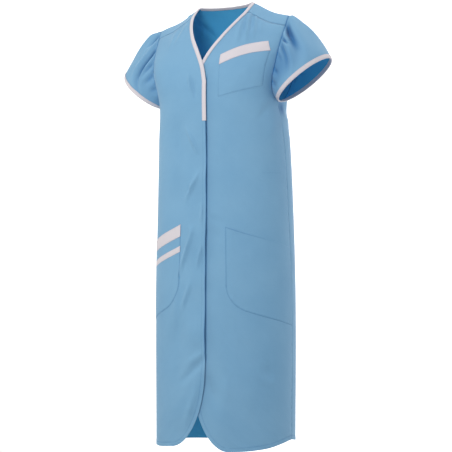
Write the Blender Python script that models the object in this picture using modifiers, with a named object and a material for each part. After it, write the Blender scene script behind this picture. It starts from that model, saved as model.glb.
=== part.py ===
"""Work blouse: a long overall blouse with short gathered sleeves, in the hollow form it has when worn.

Metres, +Z up. The front faces -Y and the wearer's left is +X.
The origin is the middle of the shoulder line, where the wearer's shoulders hold the blouse up.
"""
import math
from collections import namedtuple

import bmesh
import bpy
import numpy as np

MM = 0.001

# Cloth
WALL = 1.2 * MM
SEAM = 0.3 * MM
ARMHOLE_LIFT = 0.45 * MM
ARMHOLE_CLEAR = 0.8 * MM
LAID = 0.85 * MM
BAND_OVER_POCKET = 0.4 * MM
WELD = 0.01 * MM
BINDING_WALL = 0.8 * MM
BINDING_WIDTH = 10 * MM
BINDING_CLEAR = 0.45 * MM
BACK_BINDING_CLEAR = 0.95 * MM
RIGHT_BINDING_CLEAR = 0.95 * MM

# Shoulders and neck. A level is the distance below the shoulder ridge.
NECK_HALF = 0.0727
SHOULDER_SLOPE = 0.42
SHOULDER_DIP = 0.006
SHOULDER_TIP = 0.182
NECK_ROUND = 0.02
SLOPE_FADES = 0.238
CHEST_ROUND = 0.22
BACK_ROUND = 0.16
SHOULDER_FULLNESS = 0.88
BACK_NECK_DROP = 0.018
BACK_NECK_CURVE = 2.5
YOKE_DEPTH = 0.028
YOKE_RIDGE = 0.85 * MM
BACK_RIDGE = 0.30 * MM
UNDERARM = 0.238
BODY_CORE_Y = 0.02
SIDE_REACH = 0.16

# Front closing and hem
FRONT_EDGE = -0.0160
LAP_STARTS = -0.066
LAP_FULL = -0.020
LAP_THIN = 2.4 * MM
LAP_AT_NECK = 4.8 * MM
LAP_FADES = 0.08
BAND_END = 0.288
BAND_END_LEFT = 0.178
BAND_END_SHORT = 0.12
CORNER_START = 0.85
CORNER_WIDTH_LEFT = 0.075
CORNER_WIDTH_RIGHT = 0.100

# Armhole: how far it reaches round from the side seam, and how square its foot is
ARMHOLE_FRONT = 18.5
ARMHOLE_BACK = 24.0
ARMHOLE_SQUARE = 8.0
ARMHOLE_RISE = 1.6
ARMHOLE_FOOT = 0.3
ARMHOLE_FOOT_STEP = 4 * MM
ARMHOLE_SIDE_STEP = 0.9

Section = namedtuple("Section", "level half_width front back squareness middle")
BODY = (
    Section(0.000, 0.188, 0.106, 0.112, 3.5, 0.000),
    Section(0.060, 0.180, 0.107, 0.113, 3.5, -0.007),
    Section(0.150, 0.170, 0.106, 0.114, 3.3, -0.014),
    Section(0.238, 0.151, 0.105, 0.112, 2.9, -0.017),
    Section(0.330, 0.1595, 0.108, 0.113, 2.6, -0.011),
    Section(0.500, 0.168, 0.114, 0.117, 2.4, -0.006),
    Section(0.650, 0.1735, 0.118, 0.119, 2.3, -0.005),
    Section(1.090, 0.1735, 0.119, 0.120, 2.3, -0.005),
)

Neck = namedtuple("Neck", "level opening")
NECKLINE = (
    Neck(0.000, 0.0727),
    Neck(0.030, 0.0690),
    Neck(0.060, 0.0570),
    Neck(0.100, 0.0350),
    Neck(0.140, 0.0090),
    Neck(0.170, -0.0075),
    Neck(0.200, FRONT_EDGE),
)

Seam = namedtuple("Seam", "level turn")
SIDE_SEAM = (
    Seam(0.000, 0.0),
    Seam(0.238, 0.0),
    Seam(0.500, -1.0),
    Seam(1.090, -2.0),
)

# The hem's level at turns round from the side, where 90 is the front and -90 the back
Hem = namedtuple("Hem", "turn left right")
HEM = (
    Hem(-90.0, 1.064, 1.064),
    Hem(-60.0, 1.060, 1.067),
    Hem(-30.0, 1.041, 1.066),
    Hem(0.0, 1.026, 1.050),
    Hem(30.0, 1.034, 1.052),
    Hem(60.0, 1.043, 1.045),
    Hem(90.0, 1.046, 1.041),
)

# Soft folds of the body: both ends by x and z, half width, and height, negative for a trough.
# Each rises and falls over these shares of its length.
FOLD_RISES = (-0.3, 0.4)
FOLD_FALLS = (0.6, 1.3)
Fold = namedtuple("Fold", "x0 z0 x1 z1 width height")
FRONT_FOLDS = (
    Fold(-0.040, -0.76, -0.110, -0.85, 0.028, -0.0035),
    Fold(-0.045, -0.90, -0.060, -1.00, 0.028, 0.0035),
    Fold(0.085, -0.84, 0.130, -0.94, 0.028, 0.0030),
    Fold(0.050, -0.90, 0.060, -1.02, 0.028, 0.0030),
    Fold(-0.065, -0.29, -0.050, -0.37, 0.026, -0.0030),
    Fold(-0.050, -0.42, -0.085, -0.50, 0.026, -0.0025),
)
BACK_FOLDS = (
    Fold(-0.090, -0.30, -0.030, -0.42, 0.028, -0.0030),
    Fold(0.100, -0.32, 0.050, -0.45, 0.028, -0.0030),
    Fold(-0.020, -0.52, -0.050, -0.68, 0.030, 0.0035),
    Fold(0.070, -0.56, 0.050, -0.74, 0.030, 0.0030),
    Fold(-0.100, -0.70, -0.080, -0.92, 0.032, -0.0035),
    Fold(0.015, -0.78, 0.000, -1.00, 0.032, -0.0035),
    Fold(0.110, -0.80, 0.095, -1.02, 0.032, 0.0035),
)

# Sleeve opening: its middle, and the half axes towards its outer top and its front
SLEEVE_MIDDLE = np.array((0.2155, -0.0145, -0.195))
SLEEVE_UP = np.array((0.0550, 0.0215, 0.0480))
SLEEVE_FRONT = np.array((0.0120, -0.0640, 0.0030))
SLEEVE_LEAVE = np.array((1.0, -0.35, -0.22))
SLEEVE_SPREAD = 0.3
SLEEVE_START = 0.22
SLEEVE_END = 0.32
SLEEVE_DRAWN_IN = 0.35
SLEEVE_TOP_SPACING = 0.3

# Gathers of the sleeve head: place round the armhole, half width (both degrees), height
GATHER_REACH = 0.5
GATHER_RISE = 0.6
Gather = namedtuple("Gather", "around width height")
SLEEVE_GATHERS = (
    Gather(84.0, 7.0, 1.8 * MM),
    Gather(104.0, 6.5, 2.6 * MM),
    Gather(123.0, 6.0, 3.2 * MM),
    Gather(141.0, 6.0, 3.6 * MM),
    Gather(159.0, 6.5, 3.2 * MM),
    Gather(178.0, 6.0, 3.8 * MM),
    Gather(197.0, 6.5, 3.4 * MM),
    Gather(216.0, 6.0, 3.4 * MM),
    Gather(235.0, 6.5, 2.8 * MM),
    Gather(256.0, 7.0, 2.0 * MM),
)

# Pockets by x and z of their corners on the front
CHEST_INNER = 0.045
CHEST_OUTER_TOP = 0.147
CHEST_OUTER_BAND = 0.151
CHEST_OUTER_FOOT = 0.141
CHEST_TOP_INNER = -0.137
CHEST_TOP_OUTER = -0.108
CHEST_BAND = 0.0235
CHEST_FOOT_INNER = -0.231
CHEST_FOOT_OUTER = -0.210
CHEST_SPACING = 0.85

POCKET_INNER_LEFT = 0.065
POCKET_INNER_RIGHT = 0.058
POCKET_TOP_INNER = 0.533
POCKET_TOP_SIDE = 0.578
POCKET_FOOT_INNER = 0.723
POCKET_FOOT_SIDE = 0.748
POCKET_CORNER = 0.040
POCKET_CORNER_SHARE = 0.3
POCKET_SPACING = 1.3
POCKET_SIDE_CLEAR = 0.6
BAND_WIDE_TOP = 0.0
BAND_WIDE = 0.028
BAND_NARROW_TOP = 0.050
BAND_NARROW = 0.014


def smooth_read(table, name, at, key="level"):
    """Reads a table's column along a smooth curve through its rows (cubic Hermite pieces)."""
    known_at = np.array([getattr(row, key) for row in table])
    known = np.array([getattr(row, name) for row in table])
    slopes = np.gradient(known, known_at)
    at = np.asarray(at, dtype=float)
    piece = np.clip(np.searchsorted(known_at, at) - 1, 0, len(known_at) - 2)
    step = known_at[piece + 1] - known_at[piece]
    u = np.clip((at - known_at[piece]) / step, 0.0, 1.0)
    start = (1 + 2 * u) * (1 - u) ** 2 * known[piece] + u * (1 - u) ** 2 * step * slopes[piece]
    end = u * u * (3 - 2 * u) * known[piece + 1] - u * u * (1 - u) * step * slopes[piece + 1]
    return start + end


def ease(value, low, high):
    """Rises smoothly from 0 at low to 1 at high."""
    u = np.clip((value - low) / (high - low), 0.0, 1.0)
    return u * u * (3 - 2 * u)


def ridge_drop(x):
    """The shoulder ridge's fall below the neck points, which is a rise between them."""
    straight = SHOULDER_SLOPE * (np.hypot(x, NECK_ROUND) - math.hypot(NECK_HALF, NECK_ROUND))
    across = np.clip((np.abs(x) - NECK_HALF) / (SHOULDER_TIP - NECK_HALF), 0.0, 1.0)
    return straight + SHOULDER_DIP * np.sin(math.pi * across) ** 2


def slope_share(level):
    """How much of the shoulder slope a row still follows: all at the ridge, none below the armhole."""
    return 1.0 - ease(level, 0.0, SLOPE_FADES)


def body_place(turn, level):
    """A point of the wearer's-left half: a rounded section, pressed flat towards the shoulder ridge.

    turn is in degrees round the body's middle, 0 at the side, 90 at the front and -90 at the back.
    """
    turn, level = np.broadcast_arrays(np.radians(turn), level)
    half_width = smooth_read(BODY, "half_width", level)
    depth = np.where(turn > 0, smooth_read(BODY, "front", level), smooth_read(BODY, "back", level))
    power = smooth_read(BODY, "squareness", level)
    across = np.cos(turn)
    along = np.sin(turn)
    reach = (np.abs(across / half_width) ** power + np.abs(along / depth) ** power) ** (-1 / power)
    rounding = np.where(turn > 0, CHEST_ROUND, BACK_ROUND)
    press = (1 - np.clip(1 - level / rounding, 0.0, 1.0) ** 2) ** SHOULDER_FULLNESS
    x = reach * across
    y = smooth_read(BODY, "middle", level) - press * reach * along
    z = -level - ridge_drop(x) * slope_share(level)
    return np.stack((x, y, z), axis=-1)


def turn_of(x, level, back=False):
    """The turn at which a row of the body has a given x, on the front or on the back."""
    half_width = smooth_read(BODY, "half_width", level)
    power = smooth_read(BODY, "squareness", level)
    depth = smooth_read(BODY, "back" if back else "front", level)
    share = np.clip(np.abs(x) / half_width, 0.0, 1.0)
    along = depth * (1 - share ** power) ** (1 / power)
    turn = np.degrees(np.arctan2(along, x))
    return -turn if back else turn


def fold_height(x, z, folds):
    """Sum of the soft folds: a bell across each, fading at both ends."""
    total = np.zeros_like(x)
    for fold in folds:
        length = math.hypot(fold.x1 - fold.x0, fold.z1 - fold.z0)
        dx = (fold.x1 - fold.x0) / length
        dz = (fold.z1 - fold.z0) / length
        along = (x - fold.x0) * dx + (z - fold.z0) * dz
        aside = (x - fold.x0) * dz - (z - fold.z0) * dx
        ends = ease(along / length, *FOLD_RISES) * (1 - ease(along / length, *FOLD_FALLS))
        total = total + fold.height * np.exp(-(aside / fold.width) ** 2) * ends
    return total


def body_surface(side, turn, level, out=0.0, lap=0.0):
    """Points of the outer cloth and their outward normals; side is 1 on the left, -1 on the right."""
    level = np.maximum(level, 0.05 * MM)
    turn, level = np.broadcast_arrays(turn, level)
    step_turn = 0.2
    step_level = np.minimum(1.0 * MM, 0.5 * level)
    points = body_place(turn, level)
    round_it = body_place(turn + step_turn, level) - body_place(turn - step_turn, level)
    down = body_place(turn, level + step_level) - body_place(turn, level - step_level)
    normals = np.cross(round_it, down)
    normals = normals / np.linalg.norm(normals, axis=-1, keepdims=True)
    x = side * points[..., 0]
    z = points[..., 2]
    fold = np.where(turn > 0, fold_height(x, z, FRONT_FOLDS), fold_height(x, z, BACK_FOLDS))
    overlap = lap * ease(-points[..., 0], LAP_STARTS, LAP_FULL) * np.where(turn > 0, 1.0, 0.0)
    points = points + normals * (out + fold + overlap)[..., None]
    flip = np.array((side, 1.0, 1.0))
    return points * flip, normals * flip


def grid_normals(points, near):
    """Normals of a grid from its own neighbouring points, on the side of the given normals."""
    across = np.gradient(points, axis=1)
    down = np.gradient(points, axis=0)
    normals = np.cross(across, down)
    normals = normals / np.linalg.norm(normals, axis=-1, keepdims=True)
    return normals * np.sign(np.sum(normals * near, axis=-1, keepdims=True))


def level_at(x, z):
    """The level at which the front has a given x and z."""
    level = -z
    for _ in range(12):
        level = -z - ridge_drop(x) * slope_share(level)
    return level


def on_front(x, z, out):
    """Points of the left front at given x and z, moved out."""
    level = level_at(x, z)
    return body_surface(1, turn_of(x, level), level, out)[0]


def hem_level(side, turn):
    """The hem's level at a turn of one side."""
    return smooth_read(HEM, "left" if side > 0 else "right", turn, key="turn")


def armhole_turn(level, reach):
    """The armhole's edge at a level: a rounded foot at the side seam, then almost straight up."""
    foot = np.clip(1 - (level / UNDERARM) ** ARMHOLE_SQUARE, 0.0, 1.0) ** 0.5
    return smooth_read(SIDE_SEAM, "turn", level) + reach * foot


def side_gap():
    """Half the clear distance at the side seam's outer face, as a turn."""
    return math.degrees(SEAM / SIDE_REACH)


def front_turns(side, level, columns):
    """Turns of one row of a front: its edge, the binding's width, then even steps to the outer edge."""
    opening = smooth_read(NECKLINE, "opening", np.minimum(level, NECKLINE[-1].level))
    bend = np.clip((level - CORNER_START) / (hem_level(1, 90.0) - CORNER_START), 0.0, 1.0)
    corner_width = CORNER_WIDTH_LEFT if side > 0 else CORNER_WIDTH_RIGHT
    edge = opening + corner_width * (1 - np.sqrt(1 - bend ** 2))
    first = turn_of(edge, level)
    second = turn_of(edge + BINDING_WIDTH, level)
    last = armhole_turn(level, ARMHOLE_FRONT) + side_gap()
    share = np.linspace(0.0, 1.0, columns - 1)
    return np.concatenate(([first], second + (last - second) * share))


SKIRT_ROWS = (UNDERARM, 0.262, BAND_END, 0.315, 0.35, 0.39, 0.43, 0.47, 0.51, 0.55, 0.59, 0.63,
              0.67, 0.71, 0.75, 0.785, 0.82, CORNER_START)
FRONT_ROWS = (0.0285, 0.042, 0.060, 0.082, 0.106, 0.130, 0.154, BAND_END_LEFT, 0.198, 0.216, 0.228,
              0.2355) + SKIRT_ROWS
CORNER_STEPS = 7
CORNER_DROPS = [math.sin(0.5 * math.pi * step / CORNER_STEPS) for step in range(1, CORNER_STEPS + 1)]
FRONT_COLUMNS = 11


def front_grid(side):
    """Turns and levels of a front's grid, top to hem, with its rounded corner."""
    turns = [front_turns(side, level, FRONT_COLUMNS) for level in FRONT_ROWS]
    levels = [np.full(FRONT_COLUMNS, level) for level in FRONT_ROWS]
    corner_foot = hem_level(1, 90.0)
    for drop in CORNER_DROPS:
        row = front_turns(side, CORNER_START + (corner_foot - CORNER_START) * drop, FRONT_COLUMNS)
        turns.append(row)
        levels.append(CORNER_START + (hem_level(side, row) - CORNER_START) * drop)
    return np.array(turns), np.array(levels)


BACK_ROWS = (0.0, 0.010, 0.024, 0.042, 0.066, 0.094, 0.124, 0.154, 0.180, 0.202, 0.220, 0.232) + SKIRT_ROWS
NECK_COLUMNS = 5
SHOULDER_COLUMNS = 5


def back_half(side):
    """Turns and levels of half the back's grid, from its centre line to its outer edge."""
    neck_x = np.linspace(0.0, NECK_HALF, NECK_COLUMNS + 1)
    top = np.zeros(NECK_COLUMNS + SHOULDER_COLUMNS + 1)
    top[:NECK_COLUMNS + 1] = BACK_NECK_DROP * (1 - (neck_x / NECK_HALF) ** BACK_NECK_CURVE)
    turns = []
    top = np.maximum(top, BACK_RIDGE)
    levels = [top + row * (1 - top / UNDERARM) if row < UNDERARM else np.full(len(top), row)
              for row in BACK_ROWS]
    hem_turns = np.linspace(-90.0, smooth_read(SIDE_SEAM, "turn", CORNER_START), len(top))
    for drop in CORNER_DROPS:
        levels.append(CORNER_START + (hem_level(side, hem_turns) - CORNER_START) * drop)
    for level in levels:
        inner = turn_of(neck_x, level[:NECK_COLUMNS + 1], back=True)
        last = armhole_turn(level[-1], -ARMHOLE_BACK) - side_gap()
        share = np.linspace(0.0, 1.0, SHOULDER_COLUMNS + 1)[1:]
        turns.append(np.concatenate((inner, inner[-1] + (last - inner[-1]) * share)))
    return np.array(turns), np.array(levels)


def new_collection(name):
    collection = bpy.data.collections.new(name)
    bpy.context.scene.collection.children.link(collection)
    return collection


def new_material(name, red, green, blue, roughness):
    material = bpy.data.materials.new(name)
    material.use_nodes = True
    shader = material.node_tree.nodes["Principled BSDF"]
    shader.inputs["Base Color"].default_value = (red, green, blue, 1.0)
    shader.inputs["Roughness"].default_value = roughness
    shader.inputs["Metallic"].default_value = 0.0
    return material


def sheet_object(name, points, wall, inside, closed=False, even=False, outward=False):
    """A grid moved onto its points and given a wall; inside is a point that the cloth faces away from."""
    rows, columns = points.shape[:2]
    mesh = bpy.data.meshes.new(name)
    work = bmesh.new()
    bmesh.ops.create_grid(work, x_segments=columns - 1, y_segments=rows - 1, size=1.0)
    for vertex in work.verts:
        column = round((vertex.co.x + 1) / 2 * (columns - 1))
        row = round((vertex.co.y + 1) / 2 * (rows - 1))
        vertex.co = points[row, column]
    if closed:
        bmesh.ops.remove_doubles(work, verts=work.verts[:], dist=WELD)
    work.normal_update()
    facing = sum(face.normal.dot(face.calc_center_median() - inside(face.calc_center_median()))
                 for face in work.faces)
    if facing < 0:
        bmesh.ops.reverse_faces(work, faces=work.faces[:])
    work.to_mesh(mesh)
    work.free()
    mesh.shade_smooth()
    piece = bpy.data.objects.new(name, mesh)
    PARTS.objects.link(piece)
    solidify = piece.modifiers.new("Wall", "SOLIDIFY")
    solidify.thickness = wall
    solidify.offset = 1.0 if outward else -1.0
    solidify.use_even_offset = even
    return piece


def body_middle(point):
    """A point on the body's middle line at the same height."""
    middle = point.copy()
    middle.x = 0.0
    middle.y = BODY_CORE_Y
    return middle


def binding_points(edge, inner, edge_normals, inner_normals, clear=BINDING_CLEAR):
    """A folded strip's middle line across: outer leaf, over the edge, inner leaf."""
    into = inner - edge
    into = into / np.linalg.norm(into, axis=-1, keepdims=True)
    lift = clear
    sink = -(WALL + clear)
    rim = -clear
    return np.stack((
        inner + inner_normals * lift,
        edge + edge_normals * lift + into * rim,
        edge + edge_normals * sink + into * rim,
        inner + inner_normals * sink,
    ), axis=1)


def binding_object(name, points, closed=False):
    """A folded strip, its wall on the side away from the cloth that it holds."""
    core = points.mean(axis=1)

    def cloth_inside(point):
        distances = np.linalg.norm(core - np.array(point), axis=1)
        middle = point.copy()
        middle.xyz = core[int(np.argmin(distances))]
        return middle

    return sheet_object(name, points, BINDING_WALL, cloth_inside, closed, even=True, outward=True)


def lap_depth(side, levels):
    """How far the right front stands off the left at the closing, more where the bindings meet."""
    if side > 0:
        return np.zeros_like(levels)
    return LAP_THIN + (LAP_AT_NECK - LAP_THIN) * (1 - ease(levels, BAND_END, BAND_END + LAP_FADES))


def build_front(side, name, material):
    turns, levels = front_grid(side)
    points, normals = body_surface(side, turns, levels, 0.0, lap_depth(side, levels))
    piece = sheet_object(name, points, WALL, body_middle)
    piece.data.materials.append(material)
    return points, grid_normals(points, normals)


def build_back(name, material):
    halves = []
    for side in (1, -1):
        turns, levels = back_half(side)
        points, normals = body_surface(side, turns, levels)
        halves.append((points, normals))
    left, right = halves
    points = np.concatenate((left[0][:, ::-1], right[0][:, 1:]), axis=1)
    normals = np.concatenate((left[1][:, ::-1], right[1][:, 1:]), axis=1)
    piece = sheet_object(name, points, WALL, body_middle)
    piece.data.materials.append(material)
    return points, grid_normals(points, normals)


YOKE_ROWS = (0.0, 0.006, 0.016, YOKE_DEPTH)
YOKE_COLUMNS = 7


def build_yoke(side, name, material):
    """The front shoulder piece, from the ridge to the forward seam."""
    rows = []
    for row in YOKE_ROWS:
        level = max(row, YOKE_RIDGE)
        opening = float(smooth_read(NECKLINE, "opening", level))
        second = turn_of(opening + BINDING_WIDTH, level)
        last = armhole_turn(level, ARMHOLE_FRONT)
        share = np.linspace(0.0, 1.0, YOKE_COLUMNS - 1)
        rows.append(np.concatenate(([turn_of(opening, level)], second + (last - second) * share)))
    turns = np.array(rows)
    levels = np.array([np.full(YOKE_COLUMNS, max(row, YOKE_RIDGE)) for row in YOKE_ROWS])
    points, normals = body_surface(side, turns, levels)
    piece = sheet_object(name, points, WALL, body_middle)
    piece.data.materials.append(material)
    return points, grid_normals(points, normals)


def build_neck_bands(material, fronts, yokes, back):
    """The white neck binding: two front lengths over yoke and front, and one along the back neck."""
    for side, name, last_level in ((1, "neck_band_left", BAND_END_LEFT), (-1, "neck_band_right", BAND_END)):
        rows = sum(1 for level in FRONT_ROWS if level <= last_level)
        points = np.concatenate((yokes[side][0][:-1, :2], fronts[side][0][:rows, :2]))
        normals = np.concatenate((yokes[side][1][:-1, :2], fronts[side][1][:rows, :2]))
        points[0] = points[0] + (points[1] - points[0]) * BAND_END_SHORT
        clear = BINDING_CLEAR if side > 0 else RIGHT_BINDING_CLEAR
        strip = binding_points(points[:, 0], points[:, 1], normals[:, 0], normals[:, 1], clear)
        binding_object(name, strip).data.materials.append(material)
    middle = back[0].shape[1] // 2
    neck = slice(middle - NECK_COLUMNS, middle + NECK_COLUMNS + 1)
    strip = binding_points(back[0][0, neck], back[0][1, neck], back[1][0, neck], back[1][1, neck],
                           BACK_BINDING_CLEAR)
    for end, beside in ((0, 1), (-1, -2)):
        strip[end] = strip[end] + (strip[beside] - strip[end]) * BAND_END_SHORT
    binding_object("neck_band_back", strip).data.materials.append(material)


SLEEVE_COLUMNS = 52
SLEEVE_ROWS = (0.0, 0.07, 0.16, 0.27, 0.40, 0.54, 0.68, 0.80, 0.92, 1.0)


def armhole_ring(around):
    """The armhole by degrees around: 0 underarm, 90 front, 180 shoulder tip, 270 back."""
    up = np.abs(np.where(around <= 180, around, 360 - around)) / 180
    level = UNDERARM * (1 - up ** ARMHOLE_RISE)
    front = around <= 180
    reach = np.where(front, ARMHOLE_FRONT, -ARMHOLE_BACK)
    turn = armhole_turn(level, reach)
    points, normals = body_surface(1, turn, level)
    foot = up < ARMHOLE_FOOT
    deeper_turn = np.where(foot, turn, armhole_turn(level, reach * ARMHOLE_SIDE_STEP))
    deeper_level = np.where(foot, level - ARMHOLE_FOOT_STEP, level)
    into = body_surface(1, deeper_turn, deeper_level)[0] - points
    into = into / np.linalg.norm(into, axis=-1, keepdims=True)
    return points, normals, into


def build_sleeve(side, name, material, binding_name, binding_material):
    """A loft from the armhole to the opening, full and gathered at its head."""
    even = np.linspace(0.0, 2 * math.pi, SLEEVE_COLUMNS + 1)
    around = np.degrees(even + SLEEVE_TOP_SPACING * np.sin(even))
    start, normals, into = armhole_ring(around)
    start = start + normals * ARMHOLE_LIFT + into * ARMHOLE_CLEAR
    circle = np.radians(around)[:, None]
    end = SLEEVE_MIDDLE - np.cos(circle) * SLEEVE_UP + np.sin(circle) * SLEEVE_FRONT
    axis = np.cross(SLEEVE_UP, SLEEVE_FRONT)
    axis = axis / np.linalg.norm(axis)
    outward = end - SLEEVE_MIDDLE
    outward = outward / np.linalg.norm(outward, axis=1, keepdims=True)
    leave = outward * SLEEVE_SPREAD + SLEEVE_LEAVE
    leave = leave / np.linalg.norm(leave, axis=1, keepdims=True)
    arrive = axis - SLEEVE_DRAWN_IN * outward
    arrive = arrive / np.linalg.norm(arrive, axis=1, keepdims=True)
    span = np.linalg.norm(end - start, axis=1, keepdims=True)
    first = start + leave * span * SLEEVE_START
    second = end - arrive * span * SLEEVE_END
    gathers = np.zeros(len(around))
    for gather in SLEEVE_GATHERS:
        gathers = gathers + gather.height * np.exp(-((around - gather.around) / gather.width) ** 2)
    rows = []
    for u in SLEEVE_ROWS:
        point = ((1 - u) ** 3 * start + 3 * u * (1 - u) ** 2 * first
                 + 3 * u * u * (1 - u) * second + u ** 3 * end)
        strength = math.sin(math.pi * min(1.0, u / GATHER_REACH) ** GATHER_RISE)
        rows.append(point + outward * (gathers * strength)[:, None])
    points = np.array(rows)
    points[:, -1] = points[:, 0]
    flip = np.array((side, 1.0, 1.0))
    core = SLEEVE_MIDDLE * flip

    def sleeve_inside(point):
        middle = point.copy()
        middle.xyz = core
        return middle

    piece = sheet_object(name, points * flip, WALL, sleeve_inside, closed=True)
    piece.data.materials.append(material)
    edge = points[-1]
    inner = points[-2]
    along = np.roll(edge[:-1], -1, axis=0) - np.roll(edge[:-1], 1, axis=0)
    along = np.concatenate((along, along[:1]))
    facing = np.cross(inner - edge, along)
    facing = facing / np.linalg.norm(facing, axis=1, keepdims=True)
    facing = facing * np.sign(np.sum(facing * outward, axis=1, keepdims=True))
    strip = binding_points(edge, inner, facing, facing)
    strip[-1] = strip[0]
    binding_object(binding_name, strip * flip, closed=True).data.materials.append(binding_material)


def build_patch(name, points, material):
    """A piece laid on a panel: its points moved out, its wall outside them."""
    piece = sheet_object(name, points, WALL, body_middle, outward=True)
    piece.data.materials.append(material)
    return piece


def build_chest_pocket(material, band_material):
    columns = 12
    share = np.linspace(0.0, 1.0, columns)[None, :] ** CHEST_SPACING
    top = CHEST_TOP_INNER + (CHEST_TOP_OUTER - CHEST_TOP_INNER) * share
    foot = CHEST_FOOT_INNER + (CHEST_FOOT_OUTER - CHEST_FOOT_INNER) * share
    down = np.linspace(0.0, 1.0, 6)[:, None]
    band_down = np.linspace(0.0, 1.0, 3)[:, None]
    band_outer = CHEST_OUTER_TOP + (CHEST_OUTER_BAND - CHEST_OUTER_TOP) * band_down
    outer = CHEST_OUTER_BAND + (CHEST_OUTER_FOOT - CHEST_OUTER_BAND) * down
    band_x = CHEST_INNER + (band_outer - CHEST_INNER) * share
    x = CHEST_INNER + (outer - CHEST_INNER) * share
    body_top = top - CHEST_BAND - SEAM
    build_patch("chest_pocket", on_front(x, body_top + (foot - body_top) * down, LAID), material)
    build_patch("chest_pocket_band", on_front(band_x, top - CHEST_BAND * band_down, LAID), band_material)


def pocket_turns(side, columns, level):
    """Turns from a lower pocket's inner edge to the side seam, closer together at its round corner."""
    share = np.linspace(0.0, 1.0, columns) ** POCKET_SPACING
    first = turn_of(POCKET_INNER_LEFT if side > 0 else POCKET_INNER_RIGHT, level)
    last = smooth_read(SIDE_SEAM, "turn", level) + POCKET_SIDE_CLEAR
    return first + (last - first) * share, share


def pocket_grid(side, top_at, foot_at, rows, columns=12, corner=False):
    """A lower pocket, or a band on it, between two lines that fall towards the side."""
    _, share = pocket_turns(side, columns, POCKET_TOP_INNER)
    top = top_at + (POCKET_TOP_SIDE - POCKET_TOP_INNER) * share
    foot = foot_at + (POCKET_FOOT_SIDE - POCKET_FOOT_INNER if corner else
                      POCKET_TOP_SIDE - POCKET_TOP_INNER) * share
    if corner:
        near = np.clip(1 - share / POCKET_CORNER_SHARE, 0.0, 1.0)
        foot = foot - POCKET_CORNER * (1 - np.sqrt(1 - near ** 2))
    down = np.linspace(0.0, 1.0, rows)[:, None]
    levels = top + (foot - top) * down
    turns = np.array([pocket_turns(side, columns, row)[0] for row in levels.mean(axis=1)])
    return turns, levels


def build_lower_pockets(cloth, white):
    for side, name in ((1, "pocket_left"), (-1, "pocket_right")):
        turns, levels = pocket_grid(side, POCKET_TOP_INNER, POCKET_FOOT_INNER, 8, corner=True)
        build_patch(name, body_surface(side, turns, levels, LAID, lap_depth(side, levels))[0], cloth)
    out = LAID + WALL + BAND_OVER_POCKET
    for name, drop, width in (("pocket_right_band_wide", BAND_WIDE_TOP, BAND_WIDE),
                              ("pocket_right_band_narrow", BAND_NARROW_TOP, BAND_NARROW)):
        top = POCKET_TOP_INNER + drop
        turns, levels = pocket_grid(-1, top, top + width, 3)
        build_patch(name, body_surface(-1, turns, levels, out, lap_depth(-1, levels))[0], white)


for old in list(bpy.data.objects):
    bpy.data.objects.remove(old, do_unlink=True)

PARTS = new_collection("work_blouse")


def build():
    blue = new_material("blue_cloth", 0.19, 0.37, 0.57, 0.85)
    white = new_material("white_trim", 0.80, 0.77, 0.80, 0.8)
    fronts = {1: build_front(1, "front_left", blue), -1: build_front(-1, "front_right", blue)}
    back = build_back("back", blue)
    yokes = {1: build_yoke(1, "yoke_left", blue), -1: build_yoke(-1, "yoke_right", blue)}
    build_neck_bands(white, fronts, yokes, back)
    build_sleeve(1, "sleeve_left", blue, "sleeve_binding_left", white)
    build_sleeve(-1, "sleeve_right", blue, "sleeve_binding_right", white)
    build_chest_pocket(blue, white)
    build_lower_pockets(blue, white)


build()
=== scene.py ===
"""The looks of a work blouse: woven cloth shells with gathers, creases, bindings, patch pockets and sewing.

Metres, +Z up. The front faces -Y, the wearer's left is +X, and the origin is the middle of the shoulder line.
Each panel is a function of a turn round the body and a level below the shoulder ridge.
"""

import math
from collections import namedtuple

import bpy
import numpy as np
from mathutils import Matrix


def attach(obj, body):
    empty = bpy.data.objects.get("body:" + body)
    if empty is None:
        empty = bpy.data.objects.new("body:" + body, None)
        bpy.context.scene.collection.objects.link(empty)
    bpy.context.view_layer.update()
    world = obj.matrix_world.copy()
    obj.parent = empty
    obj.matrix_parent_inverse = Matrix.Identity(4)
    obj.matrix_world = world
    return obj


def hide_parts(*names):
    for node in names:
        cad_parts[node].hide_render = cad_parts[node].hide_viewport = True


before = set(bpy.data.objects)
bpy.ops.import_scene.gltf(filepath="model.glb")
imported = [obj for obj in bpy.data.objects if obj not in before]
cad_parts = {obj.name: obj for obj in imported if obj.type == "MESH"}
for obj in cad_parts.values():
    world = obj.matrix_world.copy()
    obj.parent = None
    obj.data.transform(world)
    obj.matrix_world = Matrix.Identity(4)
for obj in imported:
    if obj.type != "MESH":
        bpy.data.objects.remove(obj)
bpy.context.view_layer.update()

MM = 0.001

# The sides of the blouse: the wearer's left is 1 and right is -1. Panels are made on the left and mirrored.
WORDS = {1: "left", -1: "right"}
MIRROR = {1: np.array((1.0, 1.0, 1.0)), -1: np.array((-1.0, 1.0, 1.0))}

# Camera, from the height and the side that the blouse is seen from
CAMERA_TURN = math.radians(29.0)
CAMERA_AWAY = 2.5
CAMERA_LEVEL = -0.53
CAMERA_LENS = 82.8

# Cloth and laid pieces
CLOTH = 0.9 * MM
STRIP_CLOTH = 0.5 * MM
LAID_EDGE = 0.60 * MM
CHEST_LAID_EDGE = 0.53 * MM
BAND_OVER_POCKET = 0.85 * MM
BINDING_WIDTH = 8.8 * MM

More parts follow.
